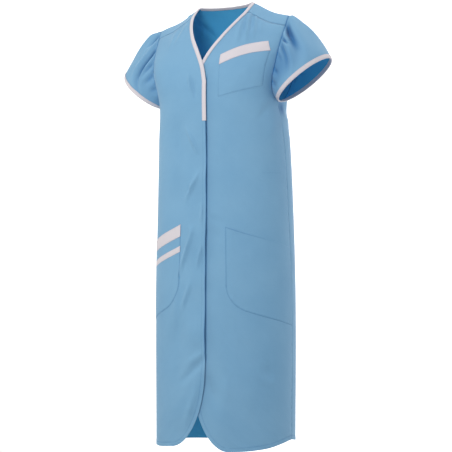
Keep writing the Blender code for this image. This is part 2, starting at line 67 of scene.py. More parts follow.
# Relief across sewn lines: the bells' heights, their places in from the edge and their half widths, in
# millimetres. Puckers are multiplied by waves along the line.
Relief = namedtuple("Relief", "height place half")
RELIEF = {
    "hem groove": Relief(-0.55, 9.0, 1.2),
    "hem puckers": Relief(0.22, 9.0, 5.0),
    "seam groove": Relief(-0.7, 0.0, 2.5),
    "seam puckers": Relief(0.3, 3.0, 6.0),
    "under yoke": Relief(-0.8, 0.0, 1.0),
    "below yoke": Relief(0.4, 4.5, 2.5),
    "yoke groove": Relief(-0.2, 2.0, 1.0),
    "yoke puckers": Relief(0.25, 3.0, 5.0),
    "binding groove": Relief(-0.22, 1.6, 0.7),
    "binding puckers": Relief(0.16, 2.5, 2.5),
    "pocket groove": Relief(-0.3, 1.8, 0.9),
    "band groove": Relief(-0.3, 1.6, 0.9),
    "patch puckers": Relief(0.2, 4.0, 4.0),
    "sleeve head puckers": Relief(0.3, 5.0, 5.0),
    "sleeve end puckers": Relief(0.25, 8.8, 6.0),
}

# Places of the stitches in from an edge, and the steps at which an edge is read for distances from it
HEM_TURNED = RELIEF["hem groove"].place * MM
YOKE_SEWN = RELIEF["yoke groove"].place * MM
PATCH_SEWN = RELIEF["pocket groove"].place * MM
BAND_SEWN = RELIEF["band groove"].place * MM
HEM_STEP = 1.5 * MM
PATCH_STEP = 1.2 * MM

# Rises of the turned hem and of the yoke's foot, and where those and the patches' own forms end
HEM_RISE = 0.45 * MM
HEM_FADES = 2.5 * MM
YOKE_RISE = 0.15 * MM
YOKE_FADES = 8 * MM
PATCH_LIFTS = (3 * MM, 22 * MM)
PATCH_SINKS = 1.5 * MM

# Half widths of the painted shade at a hem's stitches, an outer seam and a binding's stitches
HEM_SHADE_HALF = 1.2 * MM
SEAM_SHADE_HALF = 1.6 * MM
BINDING_SHADE_HALF = 0.5 * MM

# How much painted shade darkens the cloth at stitches, seams, folds and hollows, in place of their shadow,
# from 0 to 1
SHADE_HEM = 0.12
SHADE_SIDE = 0.14
SHADE_ARMHOLE = 0.75
SHADE_PATCH_EDGE = 0.50
SHADE_PATCH_SEWING = 0.10
SHADE_MOUTH = 0.70
SHADE_CHEST = 0.06
SHADE_BINDING = 0.40
SHADE_TUCK = 0.75
SHADE_UNDERARM = 0.8
SHADE_CLOSING = 0.75
SHADE_SLEEVE = {1: 0.50, -1: 0.08}

# Shoulders and neck
NECK_HALF = 0.0727
SHOULDER_SLOPE = 0.42
SHOULDER_DIP = 0.006
SHOULDER_TIP = 0.182
NECK_ROUND = 0.02
SLOPE_FADES = 0.238
CHEST_ROUND = 0.22
BACK_ROUND = 0.16
SHOULDER_FULLNESS = 0.88
BACK_NECK_DROP = 0.022
BACK_NECK_CURVE = 1.5
YOKE_DEPTH = 0.028
YOKE_LAP = 1.5 * MM
UNDERARM = 0.238

# Front closing and hem
FRONT_EDGE = -0.0160
LAP_STARTS = -0.066
LAP_FULL = -0.020
LAP_THIN = 2.8 * MM
LAP_AT_NECK = 4.8 * MM
LAP_FADES = 0.08
BAND_END = {1: 0.178, -1: 0.288}
CLOSING_FADES = 0.02
CLOSING_HALF = 1.3 * MM
CORNER_START = 0.85
Corner = namedtuple("Corner", "start width")
CORNERS = {1: Corner(0.895, 0.088), -1: Corner(CORNER_START, 0.096)}

# Armhole
ARMHOLE_FRONT = 18.5
ARMHOLE_BACK = 24.0
ARMHOLE_SQUARE = 8.0
ARMHOLE_RISE = 1.6
ARMHOLE_FOOT = 0.3
ARMHOLE_FOOT_STEP = 4 * MM
ARMHOLE_SIDE_STEP = 0.9
ARMHOLE_FRONT_HEAD = {1: 6.5, -1: -4.0}

# The hollow of the cloth behind the foot of the armhole: x, y and z without their signs
UNDERARM_HOLLOW = np.array((0.149, 0.000, 0.256))
UNDERARM_SHADED = 15 * MM

Section = namedtuple("Section", "level half_width front back squareness middle")
BODY = (
    Section(0.000, 0.188, 0.106, 0.112, 3.5, 0.000),
    Section(0.060, 0.180, 0.107, 0.113, 3.5, -0.007),
    Section(0.150, 0.170, 0.106, 0.114, 3.3, -0.014),
    Section(0.238, 0.151, 0.105, 0.112, 2.9, -0.017),
    Section(0.330, 0.1595, 0.108, 0.113, 2.6, -0.011),
    Section(0.500, 0.168, 0.114, 0.117, 2.4, -0.006),
    Section(0.650, 0.1735, 0.118, 0.119, 2.3, -0.005),
    Section(1.090, 0.1735, 0.119, 0.120, 2.3, -0.005),
)

Neck = namedtuple("Neck", "level opening")
NECKLINE = (
    Neck(0.000, 0.0727),
    Neck(0.030, 0.0690),
    Neck(0.060, 0.0570),
    Neck(0.100, 0.0350),
    Neck(0.140, 0.0090),
    Neck(0.170, -0.0075),
    Neck(0.200, FRONT_EDGE),
)

Seam = namedtuple("Seam", "level turn")
SIDE_SEAM = (
    Seam(0.000, 0.0),
    Seam(0.238, 0.0),
    Seam(0.500, -1.0),
    Seam(1.090, -2.0),
)

# The hem's level at turns round from the side, where 90 is the front and -90 the back
Hem = namedtuple("Hem", "turn left right")
HEM = (
    Hem(-90.0, 1.064, 1.064),
    Hem(-60.0, 1.060, 1.067),
    Hem(-30.0, 1.041, 1.066),
    Hem(0.0, 1.026, 1.058),
    Hem(30.0, 1.038, 1.056),
    Hem(60.0, 1.0445, 1.044),
    Hem(90.0, 1.040, 1.040),
)
CORNER_FOOT = HEM[-1].left

# Rows and columns of the panels' grids
UPPER_ROWS = 64
FRONT_COLUMNS = 112
BACK_COLUMNS = 96
BACK_NECK_COLUMNS = 40
SKIRT_ROWS = 120
CORNER_ROWS = 48
YOKE_ROWS = 26
YOKE_COLUMNS = 56
CHEST_ROWS = 48
CHEST_COLUMNS = 60
CHEST_BAND_ROWS = 20
POCKET_ROWS = 90
POCKET_BAND_ROWS = 22
POCKET_COLUMNS = 84
BINDING_SPLIT = 0.06
BINDING_UPPER_STEPS = 60
BINDING_LOWER_STEPS = 120
BACK_BINDING_STEPS = 150
SLEEVE_COLUMNS = 330
SLEEVE_ROWS = 78


def in_metres(kind, rows):
    """A table that is written in millimetres, as named rows in metres."""
    return tuple(kind(*(value * MM for value in row)) for row in rows)


# Folds of the body: both ends by x and z, half width, and height, negative for a trough, in millimetres.
# The first rows are the broad soft ones, and the rest are creases, gathers and drag lines.
FOLD_RISES = (-0.3, 0.4)
FOLD_FALLS = (0.6, 1.3)
Fold = namedtuple("Fold", "x0 z0 x1 z1 width height")
FRONT_FOLDS = in_metres(Fold, (
    (-40, -760, -110, -850, 28, -3.5),
    (-45, -900, -60, -1000, 28, 3.5),
    (85, -840, 130, -940, 28, 3),
    (50, -900, 60, -1020, 28, 3),
    (-65, -290, -50, -370, 26, -3),
    (-50, -420, -85, -500, 26, -2.5),
    # gathers below the left yoke
    (82, -32, 98.5, -102, 4.6, 5.6),
    (89.5, -38, 105, -80, 3.4, -4.2),
    (96.5, -40, 112, -96, 4, 4.6),
    (73.5, -50, 79, -102, 4.2, 3.4),
    (77.5, -40, 88, -84, 3.6, -3.6),
    (115, -50, 126, -92, 4.6, 1.5),
    # gathers below the right yoke
    (-80, -40, -90, -92, 4.8, 1.5),
    (-96, -44, -100, -86, 4.5, -1.8),
    (-115, -50, -108, -112, 5.5, 1.6),
    # creases of the right front beside the closing
    (-36, -305, -8, -360, 4.3, 4.3),
    (-6, -412, -39, -466, 5, 4.9),
    (-33, -440, -30, -452, 3.6, -2.7),
    (-21, -548, -57, -636, 5, 6.1),
    (5, -480, 4, -520, 4.3, 3.2),
    (6, -575, -6, -620, 4.3, 3.8),
    (-25, -530, -23, -550, 5.8, 2.7),
    (-26, -665, -48, -720, 5.8, 4.9),
    (-62, -660, -74, -760, 12, 3.2),
    (11, -838, -48, -892, 8.5, -4.8),
    (12, -822, -32, -848, 4.3, 3.8),
    (-5, -900, -36, -985, 10, 4.1),
    (-31, -180, -24, -215, 3.6, 2.7),
    (-20, -190, -10, -235, 4.3, -2.7),
    # drag lines and soft dents of the left front
    (20, -508, 59, -528, 8, -1.6),
    (15, -535, 50, -560, 16, -1.8),
    (19, -880, 44, -940, 14, -3.3),
    (62, -885, 72, -925, 8, 2.1),
    (118, -850, 152, -890, 10, 2.7),
    (144, -850, 156, -880, 9, -3),
    (150.5, -246, 134, -288, 5.5, -2.5),
    (152, -270, 150, -330, 5, 2.2),
))
BACK_FOLDS = in_metres(Fold, (
    (-90, -300, -30, -420, 28, -3),
    (100, -320, 50, -450, 28, -3),
    (-20, -520, -50, -680, 30, 3.5),
    (70, -560, 50, -740, 30, 3),
    (-100, -700, -80, -920, 32, -3.5),
    (15, -780, 0, -1000, 32, -3.5),
    (110, -800, 95, -1020, 32, 3.5),
    # creases between the shoulder blades, at the waist and in the skirt
    (151, -240, 143, -272, 6, -3),
    (142, -266, 136, -304, 6, 1.8),
    (-150.5, -246, -134, -288, 5.5, -4.5),
    (-105, -12, -68, -62, 6, 4),
    (30, -20, 50, -80, 7, 2.4),
    (-120, -120, -70, -175, 7.6, 3.6),
    (125, -130, 80, -200, 8.5, 4),
    (-60, -260, -10, -310, 7.6, -3.2),
    (90, -300, 20, -350, 6.8, 3.6),
    (-110, -360, -40, -400, 6.8, 4),
    (45, -420, 15, -500, 8.5, 3.2),
    (-70, -500, -80, -600, 10.2, -4),
    (30, -620, 45, -760, 9.3, 4.5),
    (-30, -700, -20, -860, 11, 4.9),
    (100, -640, 90, -720, 7.6, -3.6),
    (-120, -860, -125, -990, 10.2, 4.5),
    (60, -880, 70, -1000, 9.3, -4),
))

# Places where the right front's edge stands further off the left between the hidden fasteners, in
# millimetres
Gape = namedtuple("Gape", "level half depth")
GAPES = in_metres(Gape, (
    (340, 30, 1),
    (425, 28, 2.6),
    (560, 40, 3),
    (660, 26, 1.6),
    (775, 36, 4),
    (880, 36, 3),
))

# Sleeve opening: its middle, and the half axes towards its outer top and its front
SLEEVE_MIDDLE = np.array((0.2155, -0.0145, -0.195))
SLEEVE_UP = np.array((0.0550, 0.0215, 0.0480))
SLEEVE_FRONT = np.array((0.0120, -0.0640, 0.0030))
SLEEVE_LEAVE = np.array((1.0, -0.35, -0.22))
SLEEVE_SPREAD = 0.3
SLEEVE_START = 0.22
SLEEVE_END = 0.32
SLEEVE_DRAWN_IN = 0.35
SLEEVE_TOP_SPACING = 0.3

# How far each sleeve starts under its panel and inside the armhole's edge
SLEEVE_UNDER = 1.3 * MM
SLEEVE_BEHIND = 1.0 * MM

# How far the head of each sleeve puffs out halfway along, and over how many degrees around, by side
SLEEVE_PUFF = {1: 0.0, -1: 8 * MM}
SLEEVE_PUFF_MIDDLE = 186.0
SLEEVE_PUFF_WIDTH = 44.0

# Where the sleeves are shaded by the body beside them and how far round, in degrees, and the depth of a
# tuck that is shaded in full
SLEEVE_SHADED = 92.0
SLEEVE_SHADED_WIDTH = 44.0
TUCK_DEPTH = 7 * MM

# Pleats and gathers of the sleeve heads. around is the place at the seam in degrees, drift its change over
# the sleeve's length as the pleat falls, width in degrees, height in millimetres, and fades the share of
# the length it has gone by.
Pleat = namedtuple("Pleat", "around drift width height fades")
PLEATS = {
    1: (
        (44, -10, 6.5, 0.8, 0.6),
        (61, -16, 4.6, -2.4, 0.62),
        (73, -20, 6, 1.2, 0.5),
        (88, -28, 3.6, -2.6, 0.42),
        (101, -34, 6, 0.8, 0.7),
        (119, -46, 3.8, -1.6, 0.45),
        (130, -60, 5.4, 2.4, 0.75),
        (141, -84, 4.4, -4.6, 1),
        (150, -50, 2.6, -9.5, 0.34),
        (157, -92, 5, 4, 1),
        (168, -60, 3.6, -8, 0.34),
        (171, -76, 6.4, -7.5, 0.8),
        (187, -74, 7, 2.6, 1.15),
        (199, -50, 3, -2.6, 0.45),
        (208, -34, 4.6, 4.2, 0.7),
        (221, -14, 3, -4.2, 0.5),
        (233, 2, 5, 3.6, 0.8),
        (248, 12, 3.2, -3.2, 0.5),
        (260, 18, 5, 2.8, 0.6),
        (275, 20, 4, -2.2, 0.5),
    ),
    -1: (
        (50, -12, 5.5, 1.8, 0.6),
        (66, -18, 4, -2.2, 0.5),
        (80, -26, 5, 2.2, 0.65),
        (98, -40, 3.4, -3, 0.55),
        (111, -54, 4.8, 2.8, 0.8),
        (127, -66, 3, -3.6, 0.5),
        (139, -84, 4.6, 3.2, 0.9),
        (155, -106, 3.8, -10, 1.05),
        (168, -96, 4.6, 5.6, 0.95),
        (178, -60, 2.8, -8, 0.38),
        (190, -44, 5, 4.8, 0.9),
        (204, -30, 3, -4.2, 0.5),
        (216, -16, 4.8, 4, 0.75),
        (231, 0, 3.2, -3.8, 0.55),
        (244, 10, 5, 3.2, 0.7),
        (259, 16, 3.6, -2.6, 0.5),
        (272, 20, 5, 2.2, 0.6),
    ),
}

# Pockets by x and z of their corners on the front, and by level where they run to the side seam
CHEST_INNER = 0.045
CHEST_OUTER_TOP = 0.147
CHEST_OUTER_BAND = 0.1555
CHEST_OUTER_FOOT = 0.141
CHEST_TOP_INNER = -0.137
CHEST_TOP_OUTER = -0.108
CHEST_BAND = 0.0235
CHEST_BOW = 0.005
CHEST_FOOT_INNER = -0.236
CHEST_FOOT_OUTER = -0.213
POCKET_INNER = {1: 0.065, -1: 0.058}
POCKET_LEAN = 0.003
POCKET_CORNER = 0.040
POCKET_CORNER_SHARE = 0.3
POCKET_SPACING = 1.3
POCKET_SIDE_CLEAR = 0.6
BAND_WIDE = 0.028
BAND_NARROW_TOP = 0.050
BAND_NARROW = 0.014
POCKET_GAPE = {1: 1.0 * MM, -1: 0.0}

# Levels of the lower pockets' tops and feet at their inner edge and at the side seam, by side
Ends = namedtuple("Ends", "top_inner top_side foot_inner foot_side")
POCKET_ENDS = {1: Ends(0.532, 0.581, 0.708, 0.761), -1: Ends(0.526, 0.588, 0.704, 0.781)}


def smooth_read(table, name, at, key="level"):
    """A table's column along a smooth curve through its rows, in cubic Hermite pieces."""
    known_at = np.array([getattr(row, key) for row in table])
    known = np.array([getattr(row, name) for row in table])
    slopes = np.gradient(known, known_at)
    at = np.asarray(at, dtype=float)
    piece = np.clip(np.searchsorted(known_at, at) - 1, 0, len(known_at) - 2)
    step = known_at[piece + 1] - known_at[piece]
    u = np.clip((at - known_at[piece]) / step, 0.0, 1.0)
    start = (1 + 2 * u) * (1 - u) ** 2 * known[piece] + u * (1 - u) ** 2 * step * slopes[piece]
    end = u * u * (3 - 2 * u) * known[piece + 1] - u * u * (1 - u) * step * slopes[piece + 1]
    return start + end


def ease(value, low, high):
    """Rises smoothly from 0 at low to 1 at high, as 3u squared less 2u cubed."""
    u = np.clip((value - low) / (high - low), 0.0, 1.0)
    return u * u * (3 - 2 * u)


def bell(value, middle, half):
    """A Gaussian bell of height 1."""
    return np.exp(-((value - middle) / half) ** 2)


def ridge_drop(x):
    """The shoulder ridge's fall below the neck points: a hyperbola across the neck, and a small dip."""
    straight = SHOULDER_SLOPE * (np.hypot(x, NECK_ROUND) - math.hypot(NECK_HALF, NECK_ROUND))
    across = np.clip((np.abs(x) - NECK_HALF) / (SHOULDER_TIP - NECK_HALF), 0.0, 1.0)
    return straight + SHOULDER_DIP * np.sin(math.pi * across) ** 2


def slope_share(level):
    """How much of the shoulder slope a row still follows: all at the ridge, none below the armhole."""
    return 1.0 - ease(level, 0.0, SLOPE_FADES)


def body_place(turn, level):
    """A superellipse of the body at each level, pressed flat towards the shoulder ridge.

    turn is in degrees round the body's middle, 0 at the side, 90 at the front and -90 at the back.
    """
    turn, level = np.broadcast_arrays(np.radians(turn), level)
    half_width = smooth_read(BODY, "half_width", level)
    depth = np.where(turn > 0, smooth_read(BODY, "front", level), smooth_read(BODY, "back", level))
    power = smooth_read(BODY, "squareness", level)
    across = np.cos(turn)
    along = np.sin(turn)
    reach = (np.abs(across / half_width) ** power + np.abs(along / depth) ** power) ** (-1 / power)
    rounding = np.where(turn > 0, CHEST_ROUND, BACK_ROUND)
    press = (1 - np.clip(1 - level / rounding, 0.0, 1.0) ** 2) ** SHOULDER_FULLNESS
    x = reach * across
    y = smooth_read(BODY, "middle", level) - press * reach * along
    z = -level - ridge_drop(x) * slope_share(level)
    return np.stack((x, y, z), axis=-1)


def turn_of(x, level, back=False):
    """The turn at which a row of the body has a given x, on the front or on the back."""
    half_width = smooth_read(BODY, "half_width", level)
    power = smooth_read(BODY, "squareness", level)
    depth = smooth_read(BODY, "back" if back else "front", level)
    share = np.clip(np.abs(x) / half_width, 0.0, 1.0)
    along = depth * (1 - share ** power) ** (1 / power)
    turn = np.degrees(np.arctan2(along, x))
    return -turn if back else turn


def fold_height(x, z, folds):
    """Sum of the folds: a bell across each straight line, eased in and out along it."""
    total = np.zeros_like(x)
    for fold in folds:
        length = math.hypot(fold.x1 - fold.x0, fold.z1 - fold.z0)
        dx = (fold.x1 - fold.x0) / length
        dz = (fold.z1 - fold.z0) / length
        along = ((x - fold.x0) * dx + (z - fold.z0) * dz) / length
        aside = (x - fold.x0) * dz - (z - fold.z0) * dx
        ends = ease(along, *FOLD_RISES) * (1 - ease(along, *FOLD_FALLS))
        total = total + fold.height * bell(aside, 0.0, fold.width) * ends
    return total


def body_surface(side, turn, level, out=0.0, lap=0.0):
    """Points of the outer cloth and their outward normals: the body's place, moved out along its normal
    by the folds, the closing's lap and the given distance. side is 1 on the left and -1 on the right."""
    level = np.maximum(level, 0.05 * MM)
    turn, level = np.broadcast_arrays(turn, level)
    step_turn = 0.2
    step_level = np.minimum(1.0 * MM, 0.5 * level)
    points = body_place(turn, level)
    round_it = body_place(turn + step_turn, level) - body_place(turn - step_turn, level)
    down = body_place(turn, level + step_level) - body_place(turn, level - step_level)
    normals = np.cross(round_it, down)
    normals = normals / np.linalg.norm(normals, axis=-1, keepdims=True)
    x = side * points[..., 0]
    z = points[..., 2]
    fold = np.where(turn > 0, fold_height(x, z, FRONT_FOLDS), fold_height(x, z, BACK_FOLDS))
    overlap = lap * ease(-points[..., 0], LAP_STARTS, LAP_FULL) * np.where(turn > 0, 1.0, 0.0)
    points = points + normals * (out + fold + overlap)[..., None]
    return points * MIRROR[side], normals * MIRROR[side]


def lap_depth(side, level):
    """How far the right front stands off the left: more at the bindings, with bells where it gapes."""
    if side > 0:
        return np.zeros_like(level)
    depth = LAP_THIN + (LAP_AT_NECK - LAP_THIN) * (1 - ease(level, BAND_END[-1], BAND_END[-1] + LAP_FADES))
    for gape in GAPES:
        depth = depth + gape.depth * bell(level, gape.level, gape.half)
    return depth


def level_at(x, z):
    """The level at which the front has a given x and z, by repeated substitution."""
    level = -z
    for _ in range(12):
        level = -z - ridge_drop(x) * slope_share(level)
    return level


def hem_level(side, turn):
    """The hem's level at a turn of one side."""
    return smooth_read(HEM, "left" if side > 0 else "right", turn, key="turn")


def armhole_turn(level, reach, side=1):
    """The armhole's edge at a level: a superellipse foot at the side seam, then almost straight up, and on
    the front drawn in or let out towards the shoulder by the cube of the height."""
    foot = np.clip(1 - (level / UNDERARM) ** ARMHOLE_SQUARE, 0.0, 1.0) ** 0.5
    head = ARMHOLE_FRONT_HEAD[side] * np.clip(1 - level / UNDERARM, 0.0, 1.0) ** 3
    reach = np.where(np.asarray(reach) > 0, reach + head, reach)
    return smooth_read(SIDE_SEAM, "turn", level) + reach * foot


def mixed_steps(count, even):
    """Shares from 0 to 1, closer together at both ends: even steps mixed with a half cosine."""
    s = np.linspace(0.0, 1.0, count)
    return even * s + (1 - even) * (0.5 - 0.5 * np.cos(math.pi * s))


def unit(vectors):
    """Vectors scaled to length 1."""
    return vectors / np.maximum(np.linalg.norm(vectors, axis=-1, keepdims=True), 1e-12)


def grid_normals(points, near, closed=False):
    """Normals of a grid as the cross product of its two directions, on the side of the given ones."""
    if closed:
        across = np.roll(points, -1, axis=1) - np.roll(points, 1, axis=1)
    else:
        across = np.gradient(points, axis=1)
    normals = unit(np.cross(across, np.gradient(points, axis=0)))
    return normals * np.where(np.sum(normals * near, axis=-1, keepdims=True) < 0, -1.0, 1.0)


def arc_lengths(points, axis):
    """Distance along a grid's rows or columns from its first point."""
    steps = np.linalg.norm(np.diff(points, axis=axis), axis=-1)
    start = np.zeros_like(np.take(steps, [0], axis=axis))
    return np.cumsum(np.concatenate((start, steps), axis=axis), axis=axis)


def arc_lengths_back(points, axis):
    """Distance along a grid's rows or columns from its last point."""
    return np.flip(arc_lengths(np.flip(points, axis), axis), axis)


def read_line(line, length, at):
    """The points of a line at given distances along it."""
    return np.stack([np.interp(at, length, line[:, k]) for k in range(3)], axis=-1)


def from_line(points, line):
    """Each point's distance from a line of points, and the distance along that line of the nearest one."""
    flat = points.reshape(-1, 3)
    squares = (flat ** 2).sum(1)[:, None] + (line ** 2).sum(1)[None, :] - 2 * flat @ line.T
    nearest = np.argmin(squares, axis=1)
    away = np.linalg.norm(flat - line[nearest], axis=1)
    along = arc_lengths(line, 0)[nearest]
    return away.reshape(points.shape[:2]), along.reshape(points.shape[:2])


def even_line(line, step):
    """A line read again at even steps of its length."""
    length = arc_lengths(line, 0)
    return read_line(line, length, np.linspace(0.0, length[-1], max(2, int(length[-1] / step))))


def pucker(along, seed):
    """Uneven small waves along a seam: three sines whose lengths don't divide each other."""
    return (np.sin(along / (2.1 * MM) + seed) + 0.8 * np.sin(along / (3.4 * MM) + 2.3 * seed)
            + 0.6 * np.sin(along / (5.9 * MM) + 4.1 * seed)) / 2.4


def relief_at(away, kind):
    """A row of the relief table as a bell, at distances in from the edge."""
    row = RELIEF[kind]
    return row.height * MM * bell(away, row.place * MM, row.half * MM)


def turned_edge(away, along, seed):
    """A turned and stitched edge: a low plateau as wide as the turning, a groove at its stitches, and
    puckers on both sides of them that die away from the edge."""
    plateau = HEM_RISE * (1 - ease(away, HEM_TURNED, HEM_TURNED + HEM_FADES))
    return plateau + relief_at(away, "hem groove") + pucker(along, seed) * relief_at(away, "hem puckers")


def seam_relief(seam_away, down, seed):
    """The armhole and side seam of a panel: a groove along it, and puckers beside it."""
    return relief_at(seam_away, "seam groove") + pucker(down, seed) * relief_at(seam_away, "seam puckers")


def underarm_shade(points):
    """A bell of shade round the hollow below the underarm, of both sides alike."""
    away = np.abs(points) * (1.0, 0.0, 1.0) + points * (0.0, 1.0, 0.0) - UNDERARM_HOLLOW
    return SHADE_UNDERARM * bell(np.linalg.norm(away, axis=-1), 0.0, UNDERARM_SHADED)


def set_inputs(tree, node, inputs):
    """Sets a node's inputs from values or from other nodes' outputs."""
    for name, value in inputs.items():
        if isinstance(value, bpy.types.NodeSocket):
            tree.links.new(value, node.inputs[name])
        else:
            node.inputs[name].default_value = value


# The colour inputs and the colour result of a Mix node, by their numbers
MIX_FIRST = 6
MIX_SECOND = 7
MIX_RESULT = 2

# Threads are 0.3 mm apart, drawn at 0.9 mm so that they show close up
THREAD_SPACING = 0.9 * MM


def new_node(tree, kind, inputs=None, **settings):
    """Adds a shader node with its settings and its inputs."""
    node = tree.nodes.new("ShaderNode" + kind)
    for name, value in settings.items():
        setattr(node, name, value)
    set_inputs(tree, node, inputs or {})
    return node


def linear(hex_colour):
    """An sRGB hex colour as linear red, green, blue and 1."""
    parts = [int(hex_colour[k:k + 2], 16) / 255 for k in (1, 3, 5)]
    return tuple(p / 12.92 if p <= 0.04045 else ((p + 0.055) / 1.055) ** 2.4 for p in parts) + (1.0,)


def wave_scale(period):
    """The Wave Texture scale whose bands repeat after a given distance."""
    return 2 * math.pi / (20 * period)


def new_material(name):
    """A material with its node tree and its shader."""
    material = bpy.data.materials.new(name)
    material.use_nodes = True
    return material, material.node_tree, material.node_tree.nodes["Principled BSDF"]


def woven_cloth(name, light, dark, seam_shade, depth, sheen):
    """A plain-woven cloth in its UV metres: warp and weft bands a thread apart lift the surface, noise
    makes the yarns uneven and the dye cloudy, and the attribute of painted shade mixes in a darker colour
    where shadow falls at stitched edges, seams and folds."""
    material, tree, shader = new_material(name)
    place = new_node(tree, "UVMap", uv_map="cut").outputs["UV"]
    bands = []
    for direction in ("X", "Y"):
        wave = new_node(tree, "TexWave", {
            "Vector": place, "Scale": wave_scale(THREAD_SPACING), "Distortion": 0.6, "Detail": 1.0,
            "Detail Scale": 1.5}, wave_type="BANDS", bands_direction=direction)
        bands.append(wave.outputs["Fac"])
    weave = new_node(tree, "Math", {0: bands[0], 1: bands[1]}, operation="MULTIPLY")
    slubs = new_node(tree, "TexNoise", {
        "Vector": place, "Scale": 0.35 / THREAD_SPACING, "Detail": 3.0})
    height = new_node(tree, "Math", {0: slubs.outputs["Fac"], 1: 0.7, 2: weave.outputs[0]},
                      operation="MULTIPLY_ADD")
    slack = new_node(tree, "TexNoise", {
        "Vector": place, "Scale": 16.0, "Detail": 2.5, "Roughness": 0.55})
    rumpled = new_node(tree, "Bump", {
        "Height": slack.outputs["Fac"], "Strength": 0.55, "Distance": 4.0 * MM})
    bump = new_node(tree, "Bump", {
        "Height": height.outputs[0], "Strength": 0.35, "Distance": depth,
        "Normal": rumpled.outputs["Normal"]})
    clouds = new_node(tree, "TexNoise", {"Vector": place, "Scale": 9.0, "Detail": 4.0})
    cloudy = new_node(tree, "MapRange", {
        "Value": clouds.outputs["Fac"], "From Min": 0.35, "From Max": 0.65, "To Min": 0.0, "To Max": 0.5})
    yarn = new_node(tree, "Math", {0: weave.outputs[0], 1: 0.35, 2: cloudy.outputs[0]},
                    operation="MULTIPLY_ADD", use_clamp=True)
    dyed = new_node(tree, "Mix", {
        "Factor": yarn.outputs[0], MIX_FIRST: linear(dark), MIX_SECOND: linear(light)}, data_type="RGBA")
    seam = new_node(tree, "Attribute", attribute_name="seam")
    shaded = new_node(tree, "Mix", {
        "Factor": seam.outputs["Fac"], MIX_FIRST: dyed.outputs[MIX_RESULT], MIX_SECOND: linear(seam_shade)},
        data_type="RGBA")
    set_inputs(tree, shader, {
        "Base Color": shaded.outputs[MIX_RESULT], "Normal": bump.outputs["Normal"], "Roughness": 0.78,
        "Specular IOR Level": 0.25, "Sheen Weight": sheen, "Sheen Roughness": 0.40})
    return material


def smooth_finish(name, first, second, roughness, grain):
    """A plain surface with a faint grain of a given size in its colour and bump."""
    material, tree, shader = new_material(name)
    place = new_node(tree, "TexCoord").outputs["Object"]
    noise = new_node(tree, "TexNoise", {"Vector": place, "Scale": 1 / grain, "Detail": 2.0})
    tone = new_node(tree, "Mix", {
        "Factor": noise.outputs["Fac"], MIX_FIRST: linear(first), MIX_SECOND: linear(second)},
        data_type="RGBA")
    bump = new_node(tree, "Bump", {
        "Height": noise.outputs["Fac"], "Strength": 0.2, "Distance": 0.1 * grain})
    set_inputs(tree, shader, {
        "Base Color": tone.outputs[MIX_RESULT], "Normal": bump.outputs["Normal"], "Roughness": roughness})
    return material


# Each cloth's third colour is its painted shade, mixed in by the attribute of painted shade in place of
# shadow.
# Plain-woven polyester and cotton, piece-dyed light blue: matt, with a soft bloom where it turns away.
BLUE = woven_cloth("poplin_light_blue", "#82B1D3", "#76A7CC", "#2468A4", 0.10 * MM, 0.20)
# Its wrong side, drawn a brighter and deeper blue than the right side: painted light, in place of the light
# that comes through the cloth and off the cloth opposite.
BLUE_INSIDE_PAINTED_LIGHT = woven_cloth("poplin_light_blue_inside_painted_light", "#5EC0F0", "#50B4E6", "#2A74AC", 0.10 * MM, 0.05)
# The same cloth cut on the bias and bleached, folded over raw edges: brighter and a little rougher.
WHITE = woven_cloth("bias_binding_white", "#E2DDE2", "#D7D2DA", "#A9A5B8", 0.12 * MM, 0.06)
# Spun polyester sewing thread, dyed to match: faintly hairy and a little darker than the cloth.
BLUE_THREAD = smooth_finish("spun_polyester_thread_blue", "#5289B6", "#669AC5", 0.6, 0.4 * MM)
WHITE_THREAD = smooth_finish("spun_polyester_thread_white", "#D9D3DA", "#EFEAEF", 0.6, 0.4 * MM)
# Matt seamless paper: even and pale grey, brought almost to white behind the blouse by a painted glow.
PAPER = smooth_finish("seamless_paper_white", "#BEBEBE", "#BABABA", 0.9, 2.0 * MM)


def light_the_paper(material, near_y, far_y, strength):
    """A painted glow brings the paper up to white behind the blouse, from nothing at one y to full strength
    at another: painted light, with no lamp there.
    """
    tree = material.node_tree
    place = new_node(tree, "TexCoord").outputs["Object"]
    parts = new_node(tree, "SeparateXYZ", {"Vector": place})
    glow = new_node(tree, "MapRange", {
        "Value": parts.outputs["Y"], "From Min": near_y, "From Max": far_y,
        "To Min": 0.0, "To Max": strength})
    set_inputs(tree, tree.nodes["Principled BSDF"], {
        "Emission Color": (1.0, 1.0, 1.0, 1.0), "Emission Strength": glow.outputs["Result"]})


light_the_paper(PAPER, 0.05, 0.55, 1.0)


def grid_faces(rows, columns, closed):
    """Corner indices of a grid's squares, joined round where it is closed."""
    last = columns if closed else columns - 1
    row, column = np.meshgrid(np.arange(rows - 1), np.arange(last), indexing="ij")
    beside = (column + 1) % columns
    return np.stack((row * columns + column, row * columns + beside, (row + 1) * columns + beside,
                     (row + 1) * columns + column), axis=-1).reshape(-1, 4)


